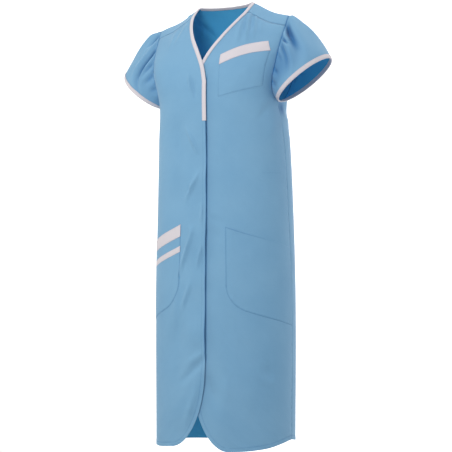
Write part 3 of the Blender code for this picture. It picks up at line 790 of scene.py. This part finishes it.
def grid_mesh(name, points, outward, closed=False, seam=None, cut=None):
    """A mesh of a grid of points, facing outward, with its cut in metres as UV and its painted shade for
    seams and folds.
    """
    rows, columns = points.shape[:2]
    faces = grid_faces(rows, columns, closed)
    flat = points.reshape(-1, 3)
    sides = np.cross(flat[faces[:, 1]] - flat[faces[:, 0]], flat[faces[:, 3]] - flat[faces[:, 0]])
    if np.sum(sides * outward.reshape(-1, 3)[faces[:, 0]]) < 0:
        faces = faces[:, ::-1]
    mesh = bpy.data.meshes.new(name)
    mesh.from_pydata(flat.tolist(), [], faces.tolist())
    if cut is None:
        cut = np.stack((arc_lengths(points, 1), arc_lengths(points, 0)), axis=-1)
    corner_cut = cut.reshape(-1, 2)[faces.reshape(-1)].reshape(-1, 4, 2)
    if closed:
        turn_back = (faces % columns).max(1) - (faces % columns).min(1) == columns - 1
        first = (faces % columns) == 0
        width = arc_lengths(np.concatenate((points, points[:, :1]), axis=1), 1)[:, -1]
        corner_cut[..., 0] += (turn_back[:, None] & first) * width[faces // columns]
    layer = mesh.uv_layers.new(name="cut")
    layer.data.foreach_set("uv", corner_cut.reshape(-1).astype(np.float32))
    shade = mesh.attributes.new("seam", "FLOAT", "POINT")
    values = np.zeros(len(flat)) if seam is None else np.clip(seam, 0.0, 1.0).reshape(-1)
    shade.data.foreach_set("value", values.astype(np.float32))
    mesh.shade_smooth()
    mesh.validate()
    return mesh


def put_in_scene(name, data):
    """An object that shows a mesh, a light or a camera in the scene."""
    made = bpy.data.objects.new(name, data)
    bpy.context.scene.collection.objects.link(made)
    return made


def cloth_piece(node, points, outward, material, thickness, closed=False, seam=None, cut=None):
    """A grid given the cloth's thickness inwards, riding on the body in place of its solid. The piece has
    the solid's name with cloth after it, or with binding for band at the neck."""
    name = node.replace("band", "binding") if node.startswith("neck") else node + "_cloth"
    mesh = grid_mesh(name, points, outward, closed, seam, cut)
    mesh.materials.append(material)
    # The inner faces of blue cloth take its copy with painted light.
    if material == BLUE:
        mesh.materials.append(BLUE_INSIDE_PAINTED_LIGHT)
    piece = put_in_scene(name, mesh)
    wall = piece.modifiers.new("Cloth", "SOLIDIFY")
    wall.thickness = thickness
    wall.offset = -1.0
    wall.material_offset = len(mesh.materials) - 1
    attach(piece, "root")
    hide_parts(node)


# Stitches: the thread, their spacing and length, and rings as shares of the length and of the radius
THREAD_RADIUS = 0.28 * MM
STITCH_PITCH = 3.0 * MM
STITCH_LENGTH = 2.3 * MM
STITCH_SIDES = 5
STITCH_STANDS = 0.35
STITCH_RINGS = ((-0.5, 0.35), (-0.22, 1.0), (0.22, 1.0), (0.5, 0.35))


def sewing(name, runs, material):
    """Stitches along lines on the cloth: at each step of length, a ring profile of a given radius is
    carried along the line's direction, half sunk in the cloth, and closed at both ends."""
    rings = []
    shares, sizes = np.array(STITCH_RINGS).T
    angle = np.linspace(0.0, 2 * math.pi, STITCH_SIDES, endpoint=False)[:, None]
    for line, normals in runs:
        length = arc_lengths(line, 0)
        count = int(length[-1] / STITCH_PITCH)
        middles = (np.arange(count) + 0.5) * length[-1] / count
        at = np.clip(middles[:, None] + shares * STITCH_LENGTH, 0.0, length[-1])
        centre = read_line(line, length, at)
        up = unit(read_line(normals, length, at))
        along = unit(centre[:, 1:] - centre[:, :-1])
        along = np.concatenate((along, along[:, -1:]), axis=1)
        aside = unit(np.cross(along, up))[:, :, None]
        middle = (centre + up * STITCH_STANDS * THREAD_RADIUS)[:, :, None]
        up = up[:, :, None]
        radius = THREAD_RADIUS * sizes[:, None, None]
        rings.append(middle + radius * (np.cos(angle) * up + np.sin(angle) * aside))
    stitches = np.concatenate(rings)
    per = len(STITCH_RINGS) * STITCH_SIDES
    starts = (np.arange(len(stitches)) * per)[:, None]
    one = grid_faces(len(STITCH_RINGS), STITCH_SIDES, True)[:, ::-1]
    sides = (one + starts[..., None]).reshape(-1, 4)
    first = np.arange(STITCH_SIDES)
    caps = np.concatenate((first + starts, first[::-1] + starts + per - STITCH_SIDES))
    mesh = bpy.data.meshes.new(name)
    mesh.from_pydata(stitches.reshape(-1, 3).tolist(), [], sides.tolist() + caps.tolist())
    mesh.shade_smooth()
    mesh.materials.append(material)
    piece = put_in_scene(name, mesh)
    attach(piece, "root")


def line_where(points, normals, measure, value, axis, reverse=False):
    """The line on a grid where a measure first passes a value along an axis, read between grid points."""
    if axis == 0:
        points, normals, measure = (np.swapaxes(a, 0, 1) for a in (points, normals, measure))
    if reverse:
        points, normals, measure = points[:, ::-1], normals[:, ::-1], measure[:, ::-1]
    after = np.maximum(np.argmax(measure >= value, axis=1), 1)
    row = np.arange(len(points))
    low = measure[row, after - 1]
    high = measure[row, after]
    share = np.clip((value - low) / np.maximum(high - low, 1e-9), 0.0, 1.0)[:, None]
    line = points[row, after - 1] * (1 - share) + points[row, after] * share
    up = normals[row, after - 1] * (1 - share) + normals[row, after] * share
    return line, unit(up)


def skirt_levels():
    """Levels from the underarm to the start of the round corners, even but finer at the underarm."""
    s = np.linspace(0.0, 1.0, SKIRT_ROWS)
    return UNDERARM + (CORNER_START - UNDERARM) * (0.55 * s + 0.45 * s * s)


SKIRT = skirt_levels()
CORNER_DROPS = np.sin(0.5 * math.pi * np.linspace(0.0, 1.0, CORNER_ROWS + 1)[1:])
FRONT_TOP = YOKE_DEPTH - YOKE_LAP


def panel_levels(top):
    """Levels from a panel's top to the underarm, closer together towards the underarm."""
    s = np.linspace(0.0, 1.0, UPPER_ROWS)
    return UNDERARM - (UNDERARM - top) * (1 - s) ** 1.7


def panel_rows(top):
    """Levels of a panel's rows, and how far each has dropped from the start of the corners to the hem."""
    corner = CORNER_START + (CORNER_FOOT - CORNER_START) * CORNER_DROPS
    levels = np.concatenate((panel_levels(top)[:-1], SKIRT, corner))
    return levels, np.concatenate((np.zeros(len(levels) - len(corner)), CORNER_DROPS))


def drop_to_hem(side, turns, rows, drops):
    """A panel's rows of levels, drawn down to the hem's own level at each turn."""
    drops = drops[:, None]
    return np.where(drops > 0, CORNER_START + (hem_level(side, turns) - CORNER_START) * drops, rows)


def front_turns(side, edge, levels, steps):
    """Turns across a front at each level: from its inner edge's x to the outer seam."""
    first = turn_of(edge, levels)
    last = armhole_turn(levels, ARMHOLE_FRONT, side)
    return first[:, None] + (last - first)[:, None] * steps


def neck_opening(level):
    """The x of a front's inner edge at a level."""
    return smooth_read(NECKLINE, "opening", level)


def back_neck_level(x):
    """The back neck's level at an x: a power curve, deepest in the middle."""
    return BACK_NECK_DROP * (1 - (np.abs(x) / NECK_HALF) ** BACK_NECK_CURVE)


def front_grid(side):
    """Turns and levels of a front: rows down its edge to the hem, columns from the edge to the outer seam."""
    levels, drops = panel_rows(FRONT_TOP)
    corner = CORNERS[side]
    bend = np.clip((levels - corner.start) / (CORNER_FOOT - corner.start), 0.0, 1.0)
    edge = neck_opening(levels) + corner.width * (1 - np.sqrt(1 - bend ** 2))
    turns = front_turns(side, edge, levels, mixed_steps(FRONT_COLUMNS, 0.42))
    return turns, drop_to_hem(side, turns, levels[:, None], drops)


def build_front(side):
    """A front: the body's surface with its lap, and turned edges at the hem and the front edge."""
    turns, levels = front_grid(side)
    points, near = body_surface(side, turns, levels, 0.0, lap_depth(side, levels))
    normals = grid_normals(points, near)
    below = levels[:, 0] >= BAND_END[-1] - 2 * MM
    boundary = np.concatenate((points[below, 0], points[-1, 1:]))
    away, along = from_line(points, even_line(boundary, HEM_STEP))
    seam_away = arc_lengths_back(points, 1)
    down = arc_lengths(points, 0)
    relief = turned_edge(away, along, 1.0 + side) + seam_relief(seam_away, down, 3.0 + side)
    relief = relief + relief_at(down, "under yoke") + relief_at(down, "below yoke")
    points = points + normals * relief[..., None]
    # Painted shade: darker at the hem's stitches, along the outer seam, in the underarm hollow, and beside
    # the closing's edge where the right front shadows the left.
    seam = SHADE_HEM * bell(away, HEM_TURNED, HEM_SHADE_HALF) * (levels > CORNER_START)
    armhole = np.where(levels < UNDERARM, SHADE_ARMHOLE, SHADE_SIDE)
    seam = seam + armhole * bell(seam_away, 0.0, SEAM_SHADE_HALF) + underarm_shade(points)
    closed = ease(levels, BAND_END[1], BAND_END[1] + CLOSING_FADES)
    closed = closed * (1 - ease(levels, CORNER_START - CLOSING_FADES, CORNER_START))
    seam = seam + SHADE_CLOSING * bell(np.abs(points[..., 0] + FRONT_EDGE), 0.0, CLOSING_HALF) * closed
    cloth_piece("front_" + WORDS[side], points, near, BLUE, CLOTH, seam=seam)
    across, up_across = line_where(points, normals, away, HEM_TURNED, 0, reverse=True)
    edge, up_edge = line_where(points[below], normals[below], away[below], HEM_TURNED, 1)
    meets = int(np.argmin(np.linalg.norm(across - edge[-1], axis=1))) + 1
    return [(np.concatenate((edge, across[meets:-1])), np.concatenate((up_edge, up_across[meets:-1])))]


def build_back():
    """The back: both halves' surfaces side by side, from the ridge and the neck curve to the hem."""
    levels, drops = panel_rows(0.0)
    neck_x = np.linspace(0.0, NECK_HALF, BACK_NECK_COLUMNS)
    top = np.zeros(BACK_COLUMNS)
    top[:BACK_NECK_COLUMNS] = back_neck_level(neck_x)
    upper = levels[:, None] + top * np.clip(1 - levels / UNDERARM, 0.0, 1.0)[:, None]
    hem_turns = np.linspace(-90.0, float(smooth_read(SIDE_SEAM, "turn", CORNER_START)), BACK_COLUMNS)
    share = 1 - (1 - np.linspace(0.0, 1.0, BACK_COLUMNS - BACK_NECK_COLUMNS + 1)[1:]) ** 1.35
    halves = []
    for side in (1, -1):
        rows = drop_to_hem(side, hem_turns, upper, drops)
        inner = turn_of(neck_x, rows[:, :BACK_NECK_COLUMNS], back=True)
        last = armhole_turn(rows[:, -1], -ARMHOLE_BACK)
        outer = inner[:, -1:] + (last - inner[:, -1])[:, None] * share
        halves.append(body_surface(side, np.concatenate((inner, outer), axis=1), rows))
    points, near = (np.concatenate((halves[0][k][:, ::-1], halves[1][k][:, 1:]), axis=1) for k in (0, 1))
    normals = grid_normals(points, near)
    away, along = from_line(points, even_line(points[-1], HEM_STEP))
    seam_away = np.minimum(arc_lengths(points, 1), arc_lengths_back(points, 1))
    relief = turned_edge(away, along, 2.7) + seam_relief(seam_away, arc_lengths(points, 0), 5.0)
    points = points + normals * relief[..., None]
    # Painted shade at the hem's stitches, along the seams and in the underarm hollow.
    armhole = np.where(points[..., 2] > -UNDERARM - 0.03, SHADE_ARMHOLE, SHADE_SIDE)
    seam = SHADE_HEM * bell(away, HEM_TURNED, HEM_SHADE_HALF)
    seam = seam + armhole * bell(seam_away, 0.0, SEAM_SHADE_HALF) + underarm_shade(points)
    cloth_piece("back", points, near, BLUE, CLOTH, seam=seam)
    return [line_where(points, normals, away, HEM_TURNED, 0, reverse=True)]


def build_yoke(side):
    """A front shoulder piece: the body's surface from the ridge to its seam, which laps over the front."""
    levels = YOKE_DEPTH * mixed_steps(YOKE_ROWS, 0.5)
    turns = front_turns(side, neck_opening(levels), levels, mixed_steps(YOKE_COLUMNS, 0.5))
    points, near = body_surface(side, turns, levels[:, None])
    normals = grid_normals(points, near)
    foot_away = arc_lengths_back(points, 0)
    seam_away = arc_lengths_back(points, 1)
    relief = YOKE_RISE * (1 - ease(foot_away, YOKE_SEWN, YOKE_FADES)) + relief_at(foot_away, "yoke groove")
    relief = relief + pucker(arc_lengths(points, 1), 1.5 * side) * relief_at(foot_away, "yoke puckers")
    relief = relief + relief_at(seam_away, "seam groove")
    points = points + normals * relief[..., None]
    # Painted shade along the armhole seam.
    seam = SHADE_ARMHOLE * bell(seam_away, 0.0, SEAM_SHADE_HALF)
    cloth_piece("yoke_" + WORDS[side], points, near, BLUE, CLOTH, seam=seam)
    return [line_where(points, normals, foot_away, YOKE_SEWN, 0, reverse=True)]


# Points across each leaf of a binding, and round its fold
BINDING_LEAF = 14
BINDING_TURN = 9


def binding_profile(edge_out, middle_out, inner_out, inner_share=1.0):
    """A folded strip's section: an outer leaf that swells between its stitches and its fold, a half circle,
    and an inner leaf. It gives the distances in from the edge, the distances out of the cloth, and 1 on the
    outer and -1 on the inner half."""
    share = (1 - np.linspace(0.0, 1.0, BINDING_LEAF)) ** 1.3
    leaf_in = BINDING_WIDTH * share
    outer = edge_out + (middle_out - edge_out) * np.sin(math.pi * share ** 0.7)
    turn = np.linspace(0.0, math.pi, BINDING_TURN + 2)[1:-1]
    radius = (edge_out + inner_out) / 2
    fold_out = (edge_out - inner_out) / 2 + radius * np.cos(turn)
    into = np.concatenate((leaf_in, -radius * np.sin(turn), leaf_in[::-1] * inner_share))
    out = np.concatenate((outer, fold_out, np.full(BINDING_LEAF, -inner_out)))
    return into, out, np.where(np.arange(len(into)) < BINDING_LEAF + BINDING_TURN // 2, 1.0, -1.0)


def binding_sewing(from_inner, length, seed):
    """Relief and painted shade of a binding: puckers and a groove at its stitches, painted shade there and at
    its edge.
    """
    relief = pucker(length, seed) * relief_at(from_inner, "binding puckers")
    relief = relief + relief_at(from_inner, "binding groove")
    shade = bell(from_inner, BAND_SEWN, BINDING_SHADE_HALF) + bell(from_inner, 0.0, BINDING_SHADE_HALF)
    return relief, SHADE_BINDING * shade


def strip_piece(node, points, near, seed):
    """A neck binding from its swept section, with its relief, its shade and its sewing line."""
    normals = grid_normals(points, near)
    from_inner = arc_lengths(points, 1)
    relief, seam = binding_sewing(from_inner, arc_lengths(points, 0), seed)
    points = points + normals * relief[..., None]
    cloth_piece(node, points, near, WHITE, STRIP_CLOTH, seam=seam)
    return [line_where(points, normals, from_inner, BAND_SEWN, 1)]


def build_front_binding(side):
    """A length of neck binding: the folded section carried down the neckline on the body's surface."""
    into, out, outside = binding_profile(1.1 * MM, 1.5 * MM, 1.5 * MM)
    upper = np.linspace(0.2 * MM, BINDING_SPLIT, BINDING_UPPER_STEPS)[:-1]
    levels = np.concatenate((upper, np.linspace(BINDING_SPLIT, BAND_END[side], BINDING_LOWER_STEPS)))[:, None]
    narrow = 0.78 + 0.22 * ease(levels, 0.05, 0.14)
    rows = np.broadcast_to(levels, (len(levels), len(into)))
    turns = turn_of(neck_opening(levels) + into * narrow, rows)
    points, near = body_surface(side, turns, rows, out, lap_depth(side, rows))
    return strip_piece("neck_band_" + WORDS[side], points, near * outside[:, None], 2.0 + side)


def build_back_binding():
    """The back neck binding: the folded section carried along the back neck's curve."""
    into, out, outside = binding_profile(1.4 * MM, 1.8 * MM, 1.7 * MM, 0.35)
    x = np.linspace(-NECK_HALF, NECK_HALF, BACK_BINDING_STEPS)[:, None]
    rows = np.maximum(back_neck_level(x) + into, 0.0)
    points, near = body_surface(1, turn_of(np.abs(x), rows, back=True), rows, out)
    mirror = np.where(x < 0, MIRROR[-1], MIRROR[1])[:, None]
    return strip_piece("neck_band_back", points * mirror, near * mirror * outside[:, None], 4.0)


def armhole_ring(around, side):
    """The armhole by degrees around, 0 at the underarm, 90 at the front, 180 at the shoulder and 270 at
    the back, with the cloth's normals and the direction into the hole."""
    up = np.abs(np.where(around <= 180, around, 360 - around)) / 180
    level = UNDERARM * (1 - up ** ARMHOLE_RISE)
    reach = np.where(around <= 180, ARMHOLE_FRONT, -ARMHOLE_BACK)
    turn = armhole_turn(level, reach, side)
    points, normals = body_surface(1, turn, level)
    foot = up < ARMHOLE_FOOT
    deeper_turn = np.where(foot, turn, armhole_turn(level, reach * ARMHOLE_SIDE_STEP, side))
    deeper_level = np.where(foot, level - ARMHOLE_FOOT_STEP, level)
    into = body_surface(1, deeper_turn, deeper_level)[0] - points
    return points, normals, unit(into)


def sleeve_frame():
    """The degrees around, and at the opening the points, the outward directions and the axis."""
    even = np.linspace(0.0, 2 * math.pi, SLEEVE_COLUMNS, endpoint=False)
    around = np.degrees(even + SLEEVE_TOP_SPACING * np.sin(even))
    circle = np.radians(around)[:, None]
    end = SLEEVE_MIDDLE - np.cos(circle) * SLEEVE_UP + np.sin(circle) * SLEEVE_FRONT
    axis = unit(np.cross(SLEEVE_UP, SLEEVE_FRONT))
    return around, end, unit(end - SLEEVE_MIDDLE), axis


def build_sleeve(side):
    """A sleeve: cubic curves from the armhole, where it starts under the panel, to the opening, moved out
    by pleats that fall from the head. A pleat is a bell across, rising fast and fading along."""
    around, end, outward, axis = sleeve_frame()
    start, normals, into = armhole_ring(around, side)
    start = start - normals * SLEEVE_UNDER - into * SLEEVE_BEHIND
    leave = unit(outward * SLEEVE_SPREAD + SLEEVE_LEAVE)
    arrive = unit(axis - SLEEVE_DRAWN_IN * outward)
    span = np.linalg.norm(end - start, axis=1, keepdims=True)
    first = start + leave * span * SLEEVE_START
    second = end - arrive * span * SLEEVE_END
    u = (np.linspace(0.0, 1.0, SLEEVE_ROWS) ** 1.25)[:, None, None]
    points = ((1 - u) ** 3 * start + 3 * u * (1 - u) ** 2 * first
              + 3 * u * u * (1 - u) * second + u ** 3 * end)
    share = u[..., 0]
    puff = bell(around, SLEEVE_PUFF_MIDDLE, SLEEVE_PUFF_WIDTH) * np.sin(math.pi * share) ** 2
    lift = SLEEVE_PUFF[side] * puff
    for pleat in map(Pleat._make, PLEATS[side]):
        across = around - pleat.around - pleat.drift * share
        along = ease(share, 0.0, 0.13) * (1 - ease(share, 0.35 * pleat.fades, pleat.fades))
        lift = lift + pleat.height * MM * bell(across, 0.0, pleat.width * (1 + 1.2 * share)) * along
    near = np.broadcast_to(outward, points.shape)
    points = points + grid_normals(points, near, closed=True) * lift[..., None]
    facing = grid_normals(points, near, closed=True)
    from_seam = arc_lengths(points, 0)
    from_end = arc_lengths_back(points, 0)
    waves = pucker(arc_lengths(points, 1)[:1], 1.0 + side)
    relief = waves * (relief_at(from_seam, "sleeve head puckers") + relief_at(from_end, "sleeve end puckers"))
    points = points + facing * relief[..., None]
    # Painted shade at the armhole seam, on the sleeve's front foot where the body shadows it, and in the deep
    # tucks of the head.
    front_foot = bell(around, SLEEVE_SHADED, SLEEVE_SHADED_WIDTH) * (1 - ease(share, 0.3, 1.0))
    tucks = np.clip(-lift / TUCK_DEPTH, 0.0, 1.0) * (1 - ease(share, 0.30, 0.62))
    seam = SHADE_ARMHOLE * (1 - ease(from_seam, 1.2 * MM, 3.6 * MM))
    seam = seam + SHADE_SLEEVE[side] * front_foot + SHADE_TUCK * tucks
    cut = np.stack((np.broadcast_to(arc_lengths(points, 1)[-1:], lift.shape), from_seam), axis=-1)
    mirror = MIRROR[side]
    cloth_piece("sleeve_" + WORDS[side], points * mirror, near * mirror, BLUE, CLOTH, True, seam, cut)
    return points, facing


def build_sleeve_binding(side, points, facing):
    """The sleeve's binding: the folded section carried round the opening over the sleeve's own edge."""
    into, out, outside = binding_profile(1.1 * MM, 1.5 * MM, 1.5 * MM)
    up_sleeve = arc_lengths(points[::-1], 0)
    carried = [line_where(points[::-1], facing[::-1], up_sleeve, reach, 0) for reach in np.maximum(into, 0.0)]
    base, ups = (np.array(half) for half in zip(*carried))
    beyond = unit(points[-1] - points[-3]) * np.maximum(-into, 0.0)[:, None, None]
    swept = base + ups * out[:, None, None] + beyond
    near = ups * outside[:, None, None]
    normals = grid_normals(swept, near, closed=True)
    from_inner = arc_lengths(swept, 0)
    around = np.broadcast_to(arc_lengths(swept, 1)[:1], from_inner.shape)
    relief, seam = binding_sewing(from_inner, around, 2.0 - side)
    swept = swept + normals * relief[..., None]
    mirror = MIRROR[side]
    cloth_piece("sleeve_binding_" + WORDS[side], swept * mirror, near * mirror, WHITE, STRIP_CLOTH, True,
                seam, np.stack((around, from_inner), axis=-1))
    run = line_where(swept, normals, from_inner, BAND_SEWN, 0)
    return [tuple(np.concatenate((line, line[:1])) * mirror for line in run)]


def build_patch(node, points, near, material, edges, rise, seed, shade=1.0, gape=0.0, sink=0.2 * MM):
    """A patch on a panel: low at its stitched edges and lifted in the middle, with puckers and grooves
    along its sewing. edges names the sides that are sewn: left, right, top and foot."""
    normals = grid_normals(points, near)
    place = PATCH_SEWN if material == BLUE else BAND_SEWN
    border = {"left": points[:, 0], "right": points[:, -1], "top": points[0], "foot": points[-1]}
    border = {edge: even_line(line, PATCH_STEP) for edge, line in border.items()}
    sewn = np.full(points.shape[:2], 1.0)
    relief = np.zeros(points.shape[:2])
    # Painted shade at the stitches, along the sewn edges and in the pocket's mouth.
    seam = np.zeros(points.shape[:2])
    for order, edge in enumerate(edges):
        away, along = from_line(points, border[edge])
        sewn = np.minimum(sewn, away)
        seam = seam + SHADE_PATCH_SEWING * shade * bell(away, place, 0.8 * MM)
        relief = relief + pucker(along, seed + order) * relief_at(away, "patch puckers")
        relief = relief + relief_at(away, "pocket groove" if material == BLUE else "band groove")
    relief = relief + rise * ease(sewn, *PATCH_LIFTS) - sink * (1 - ease(sewn, 0.0, PATCH_SINKS))
    seam = np.maximum(seam, SHADE_PATCH_EDGE * shade * (1 - ease(sewn, 0.2 * MM, 1.2 * MM)))
    if "top" not in edges and shade > 0.5:
        mouth, along = from_line(points, border["top"])
        fades = 1 - ease(along / along.max(), 0.1, 1.0)
        seam = np.maximum(seam, SHADE_MOUTH * shade * fades * bell(mouth, 0.0, 0.9 * MM))
        relief = relief + gape * bell(mouth, 0.0, 6 * MM) * bell(along, 22 * MM, 14 * MM)
    points = points + normals * relief[..., None]
    cloth_piece(node, points, near, material, STRIP_CLOTH, seam=seam)
    runs = []
    for edge in edges:
        away, _ = from_line(points, border[edge])
        line, up = line_where(points, normals, away, place, 1 if edge in ("left", "right") else 0,
                              reverse=edge in ("right", "foot"))
        runs.append((line[2:-2], up[2:-2]))
    return runs


def patch_steps(count):
    """Shares across a patch, closer together at its two sewn edges."""
    return mixed_steps(count, 0.35)


def build_chest_pocket():
    """The chest pocket and its slanting band, between straight lines in x and z on the left front."""
    share = patch_steps(CHEST_COLUMNS)
    down = patch_steps(CHEST_ROWS)[:, None]
    band_down = patch_steps(CHEST_BAND_ROWS)[:, None]
    top = CHEST_TOP_INNER + (CHEST_TOP_OUTER - CHEST_TOP_INNER) * share + CHEST_BOW * np.sin(math.pi * share)
    foot = CHEST_FOOT_INNER + (CHEST_FOOT_OUTER - CHEST_FOOT_INNER) * share
    under_band = top - CHEST_BAND + 1.0 * MM
    outer = CHEST_OUTER_BAND + (CHEST_OUTER_FOOT - CHEST_OUTER_BAND) * down
    band_outer = CHEST_OUTER_TOP + (CHEST_OUTER_BAND - CHEST_OUTER_TOP) * band_down
    laid = []
    for edge, z, out in ((outer, under_band + (foot - under_band) * down, CHEST_LAID_EDGE),
                         (band_outer, top - CHEST_BAND * band_down, CHEST_LAID_EDGE + BAND_OVER_POCKET)):
        x = CHEST_INNER + (edge - CHEST_INNER) * share
        level = level_at(x, z)
        laid.append(body_surface(1, turn_of(x, level), level, out))
    runs = build_patch("chest_pocket", *laid[0], BLUE, ("left", "right", "foot"), 0.15 * MM, 1.0,
                       SHADE_CHEST, sink=0.45 * MM)
    band_edges = ("left", "right", "top", "foot")
    return runs, build_patch("chest_pocket_band", *laid[1], WHITE, band_edges, 0.2 * MM, 2.0)


def pocket_surface(side, top_at, foot_at, rows, out, corner=False):
    """A lower pocket, or a band on it, between two lines of level that fall towards the side seam, with
    a quarter ellipse at its inner foot."""
    share = patch_steps(POCKET_COLUMNS) ** POCKET_SPACING
    ends = POCKET_ENDS[side]
    top = top_at + (ends.top_side - ends.top_inner) * share
    foot = foot_at + (ends.foot_side - ends.foot_inner if corner else ends.top_side - ends.top_inner) * share
    if corner:
        near = np.clip(1 - share / POCKET_CORNER_SHARE, 0.0, 1.0)
        foot = foot - POCKET_CORNER * (1 - np.sqrt(1 - near ** 2))
    levels = top + (foot - top) * patch_steps(rows)[:, None]
    middle = levels.mean(axis=1)[:, None]
    down = (middle - ends.foot_inner) / (ends.foot_inner - ends.top_inner)
    first = turn_of(POCKET_INNER[side] + POCKET_LEAN * down, middle)
    last = smooth_read(SIDE_SEAM, "turn", middle) + POCKET_SIDE_CLEAR
    turns = first + (last - first) * share
    return body_surface(side, turns, levels, out * (1 - 0.35 * share), lap_depth(side, levels))


def build_lower_pockets():
    """Both lower pockets, and the two bands on the right one."""
    runs = []
    for side in (1, -1):
        ends = POCKET_ENDS[side]
        laid = pocket_surface(side, ends.top_inner, ends.foot_inner, POCKET_ROWS, LAID_EDGE, corner=True)
        runs += build_patch("pocket_" + WORDS[side], *laid, BLUE, ("left", "foot"), 0.35 * MM, 3.0 + side,
                            gape=POCKET_GAPE[side])
    band_runs = []
    for word, drop, width in (("wide", 0.0, BAND_WIDE), ("narrow", BAND_NARROW_TOP, BAND_NARROW)):
        top = POCKET_ENDS[-1].top_inner + drop
        laid = pocket_surface(-1, top, top + width, POCKET_BAND_ROWS, LAID_EDGE + BAND_OVER_POCKET)
        band_runs += build_patch("pocket_right_band_" + word, *laid, WHITE, ("left", "top", "foot"),
                                 0.15 * MM, 5.0)
    return runs, band_runs


def waist_tack():
    """A short stitched line on the left front near the side seam, level and straight."""
    x = np.linspace(0.1373, 0.1625, 30)
    level = level_at(x, np.linspace(-0.4088, -0.4078, 30))
    return body_surface(1, turn_of(x, level), level, 0.1 * MM)


hem_runs = build_front(1) + build_front(-1) + build_back()
yoke_runs = build_yoke(1) + build_yoke(-1)
binding_runs = build_front_binding(1) + build_front_binding(-1) + build_back_binding()
sleeves = {side: build_sleeve(side) for side in (1, -1)}
for side, sleeve in sleeves.items():
    binding_runs += build_sleeve_binding(side, *sleeve)
chest_runs, chest_band_runs = build_chest_pocket()
pocket_runs, band_runs = build_lower_pockets()
sewing("sewing_hems", hem_runs, BLUE_THREAD)
sewing("sewing_yokes", yoke_runs, BLUE_THREAD)
sewing("sewing_pockets", chest_runs + pocket_runs + [waist_tack()], BLUE_THREAD)
sewing("sewing_bindings", binding_runs + chest_band_runs + band_runs, WHITE_THREAD)

# The flat cut of each sheet in metres, its surface where that is known better, and what holds it
Cut = namedtuple("Cut", "piece width length area held rests_on with_pieces")

# Floor level, and where the floor curves up behind the blouse
FLOOR = -1.22
SWEEP_BACK = 2.4
SWEEP_RADIUS = 1.6


def build_sweep():
    """A pale floor that curves up into a backdrop: a straight line, a quarter circle and a straight line,
    carried sideways."""
    turn = np.linspace(0.0, 0.5 * math.pi, 24)
    y = np.concatenate(([-6.0, 0.0], SWEEP_BACK + SWEEP_RADIUS * np.sin(turn), [SWEEP_BACK + SWEEP_RADIUS]))
    z = np.concatenate(([FLOOR, FLOOR], FLOOR + SWEEP_RADIUS * (1 - np.cos(turn)), [4.0]))
    points = np.stack(np.broadcast_arrays(np.linspace(-8.0, 8.0, 5), y[:, None], z[:, None]), axis=-1)
    mesh = grid_mesh("studio_sweep", points, np.broadcast_to(np.array((0.0, -0.7, 0.7)), points.shape))
    mesh.materials.append(PAPER)
    put_in_scene("studio_sweep", mesh)


def add_light(name, away, size, power, colour, turn, rise):
    """A square soft light that looks at the middle of the blouse from a turn and a rise in degrees."""
    light = bpy.data.lights.new(name, "AREA")
    light.shape = "SQUARE"
    light.size = size
    light.energy = power
    light.color = colour
    lamp = put_in_scene(name, light)
    a, e = math.radians(turn), math.radians(rise)
    direction = np.array((math.sin(a) * math.cos(e), -math.cos(a) * math.cos(e), math.sin(e)))
    lamp.location = direction * away + np.array((0.0, 0.0, CAMERA_LEVEL))
    lamp.rotation_euler = (math.pi / 2 - e, 0.0, a)


build_sweep()
add_light("key", 2.3, 1.0, 26.0, (1.0, 0.99, 0.97), 6.0, 26.0)
add_light("top", 2.2, 0.8, 15.0, (1.0, 0.96, 0.88), 165.0, 66.0)
add_light("side", 2.6, 0.8, 15.0, (1.0, 0.96, 0.83), -70.0, 16.0)

# The sky is an even white that grows stronger from below the horizon to overhead
world = bpy.data.worlds.new("studio")
world.use_nodes = True
sky_place = new_node(world.node_tree, "TexCoord").outputs["Generated"]
sky_parts = new_node(world.node_tree, "SeparateXYZ", {"Vector": sky_place})
sky = new_node(world.node_tree, "MapRange", {
    "Value": sky_parts.outputs["Z"], "From Min": -0.6, "From Max": 0.9, "To Min": 0.10, "To Max": 0.58})
set_inputs(world.node_tree, world.node_tree.nodes["Background"], {
    "Color": (1.0, 1.0, 1.0, 1.0), "Strength": sky.outputs["Result"]})
bpy.context.scene.world = world
bpy.context.scene.view_settings.view_transform = "Standard"

camera_data = bpy.data.cameras.new("camera")
camera_data.lens = CAMERA_LENS
camera_data.sensor_width = 36.0
camera = put_in_scene("camera", camera_data)
camera.location = (CAMERA_AWAY * math.sin(CAMERA_TURN), -CAMERA_AWAY * math.cos(CAMERA_TURN), CAMERA_LEVEL)
camera.rotation_euler = (math.pi / 2, 0.0, CAMERA_TURN)
bpy.context.scene.camera = camera
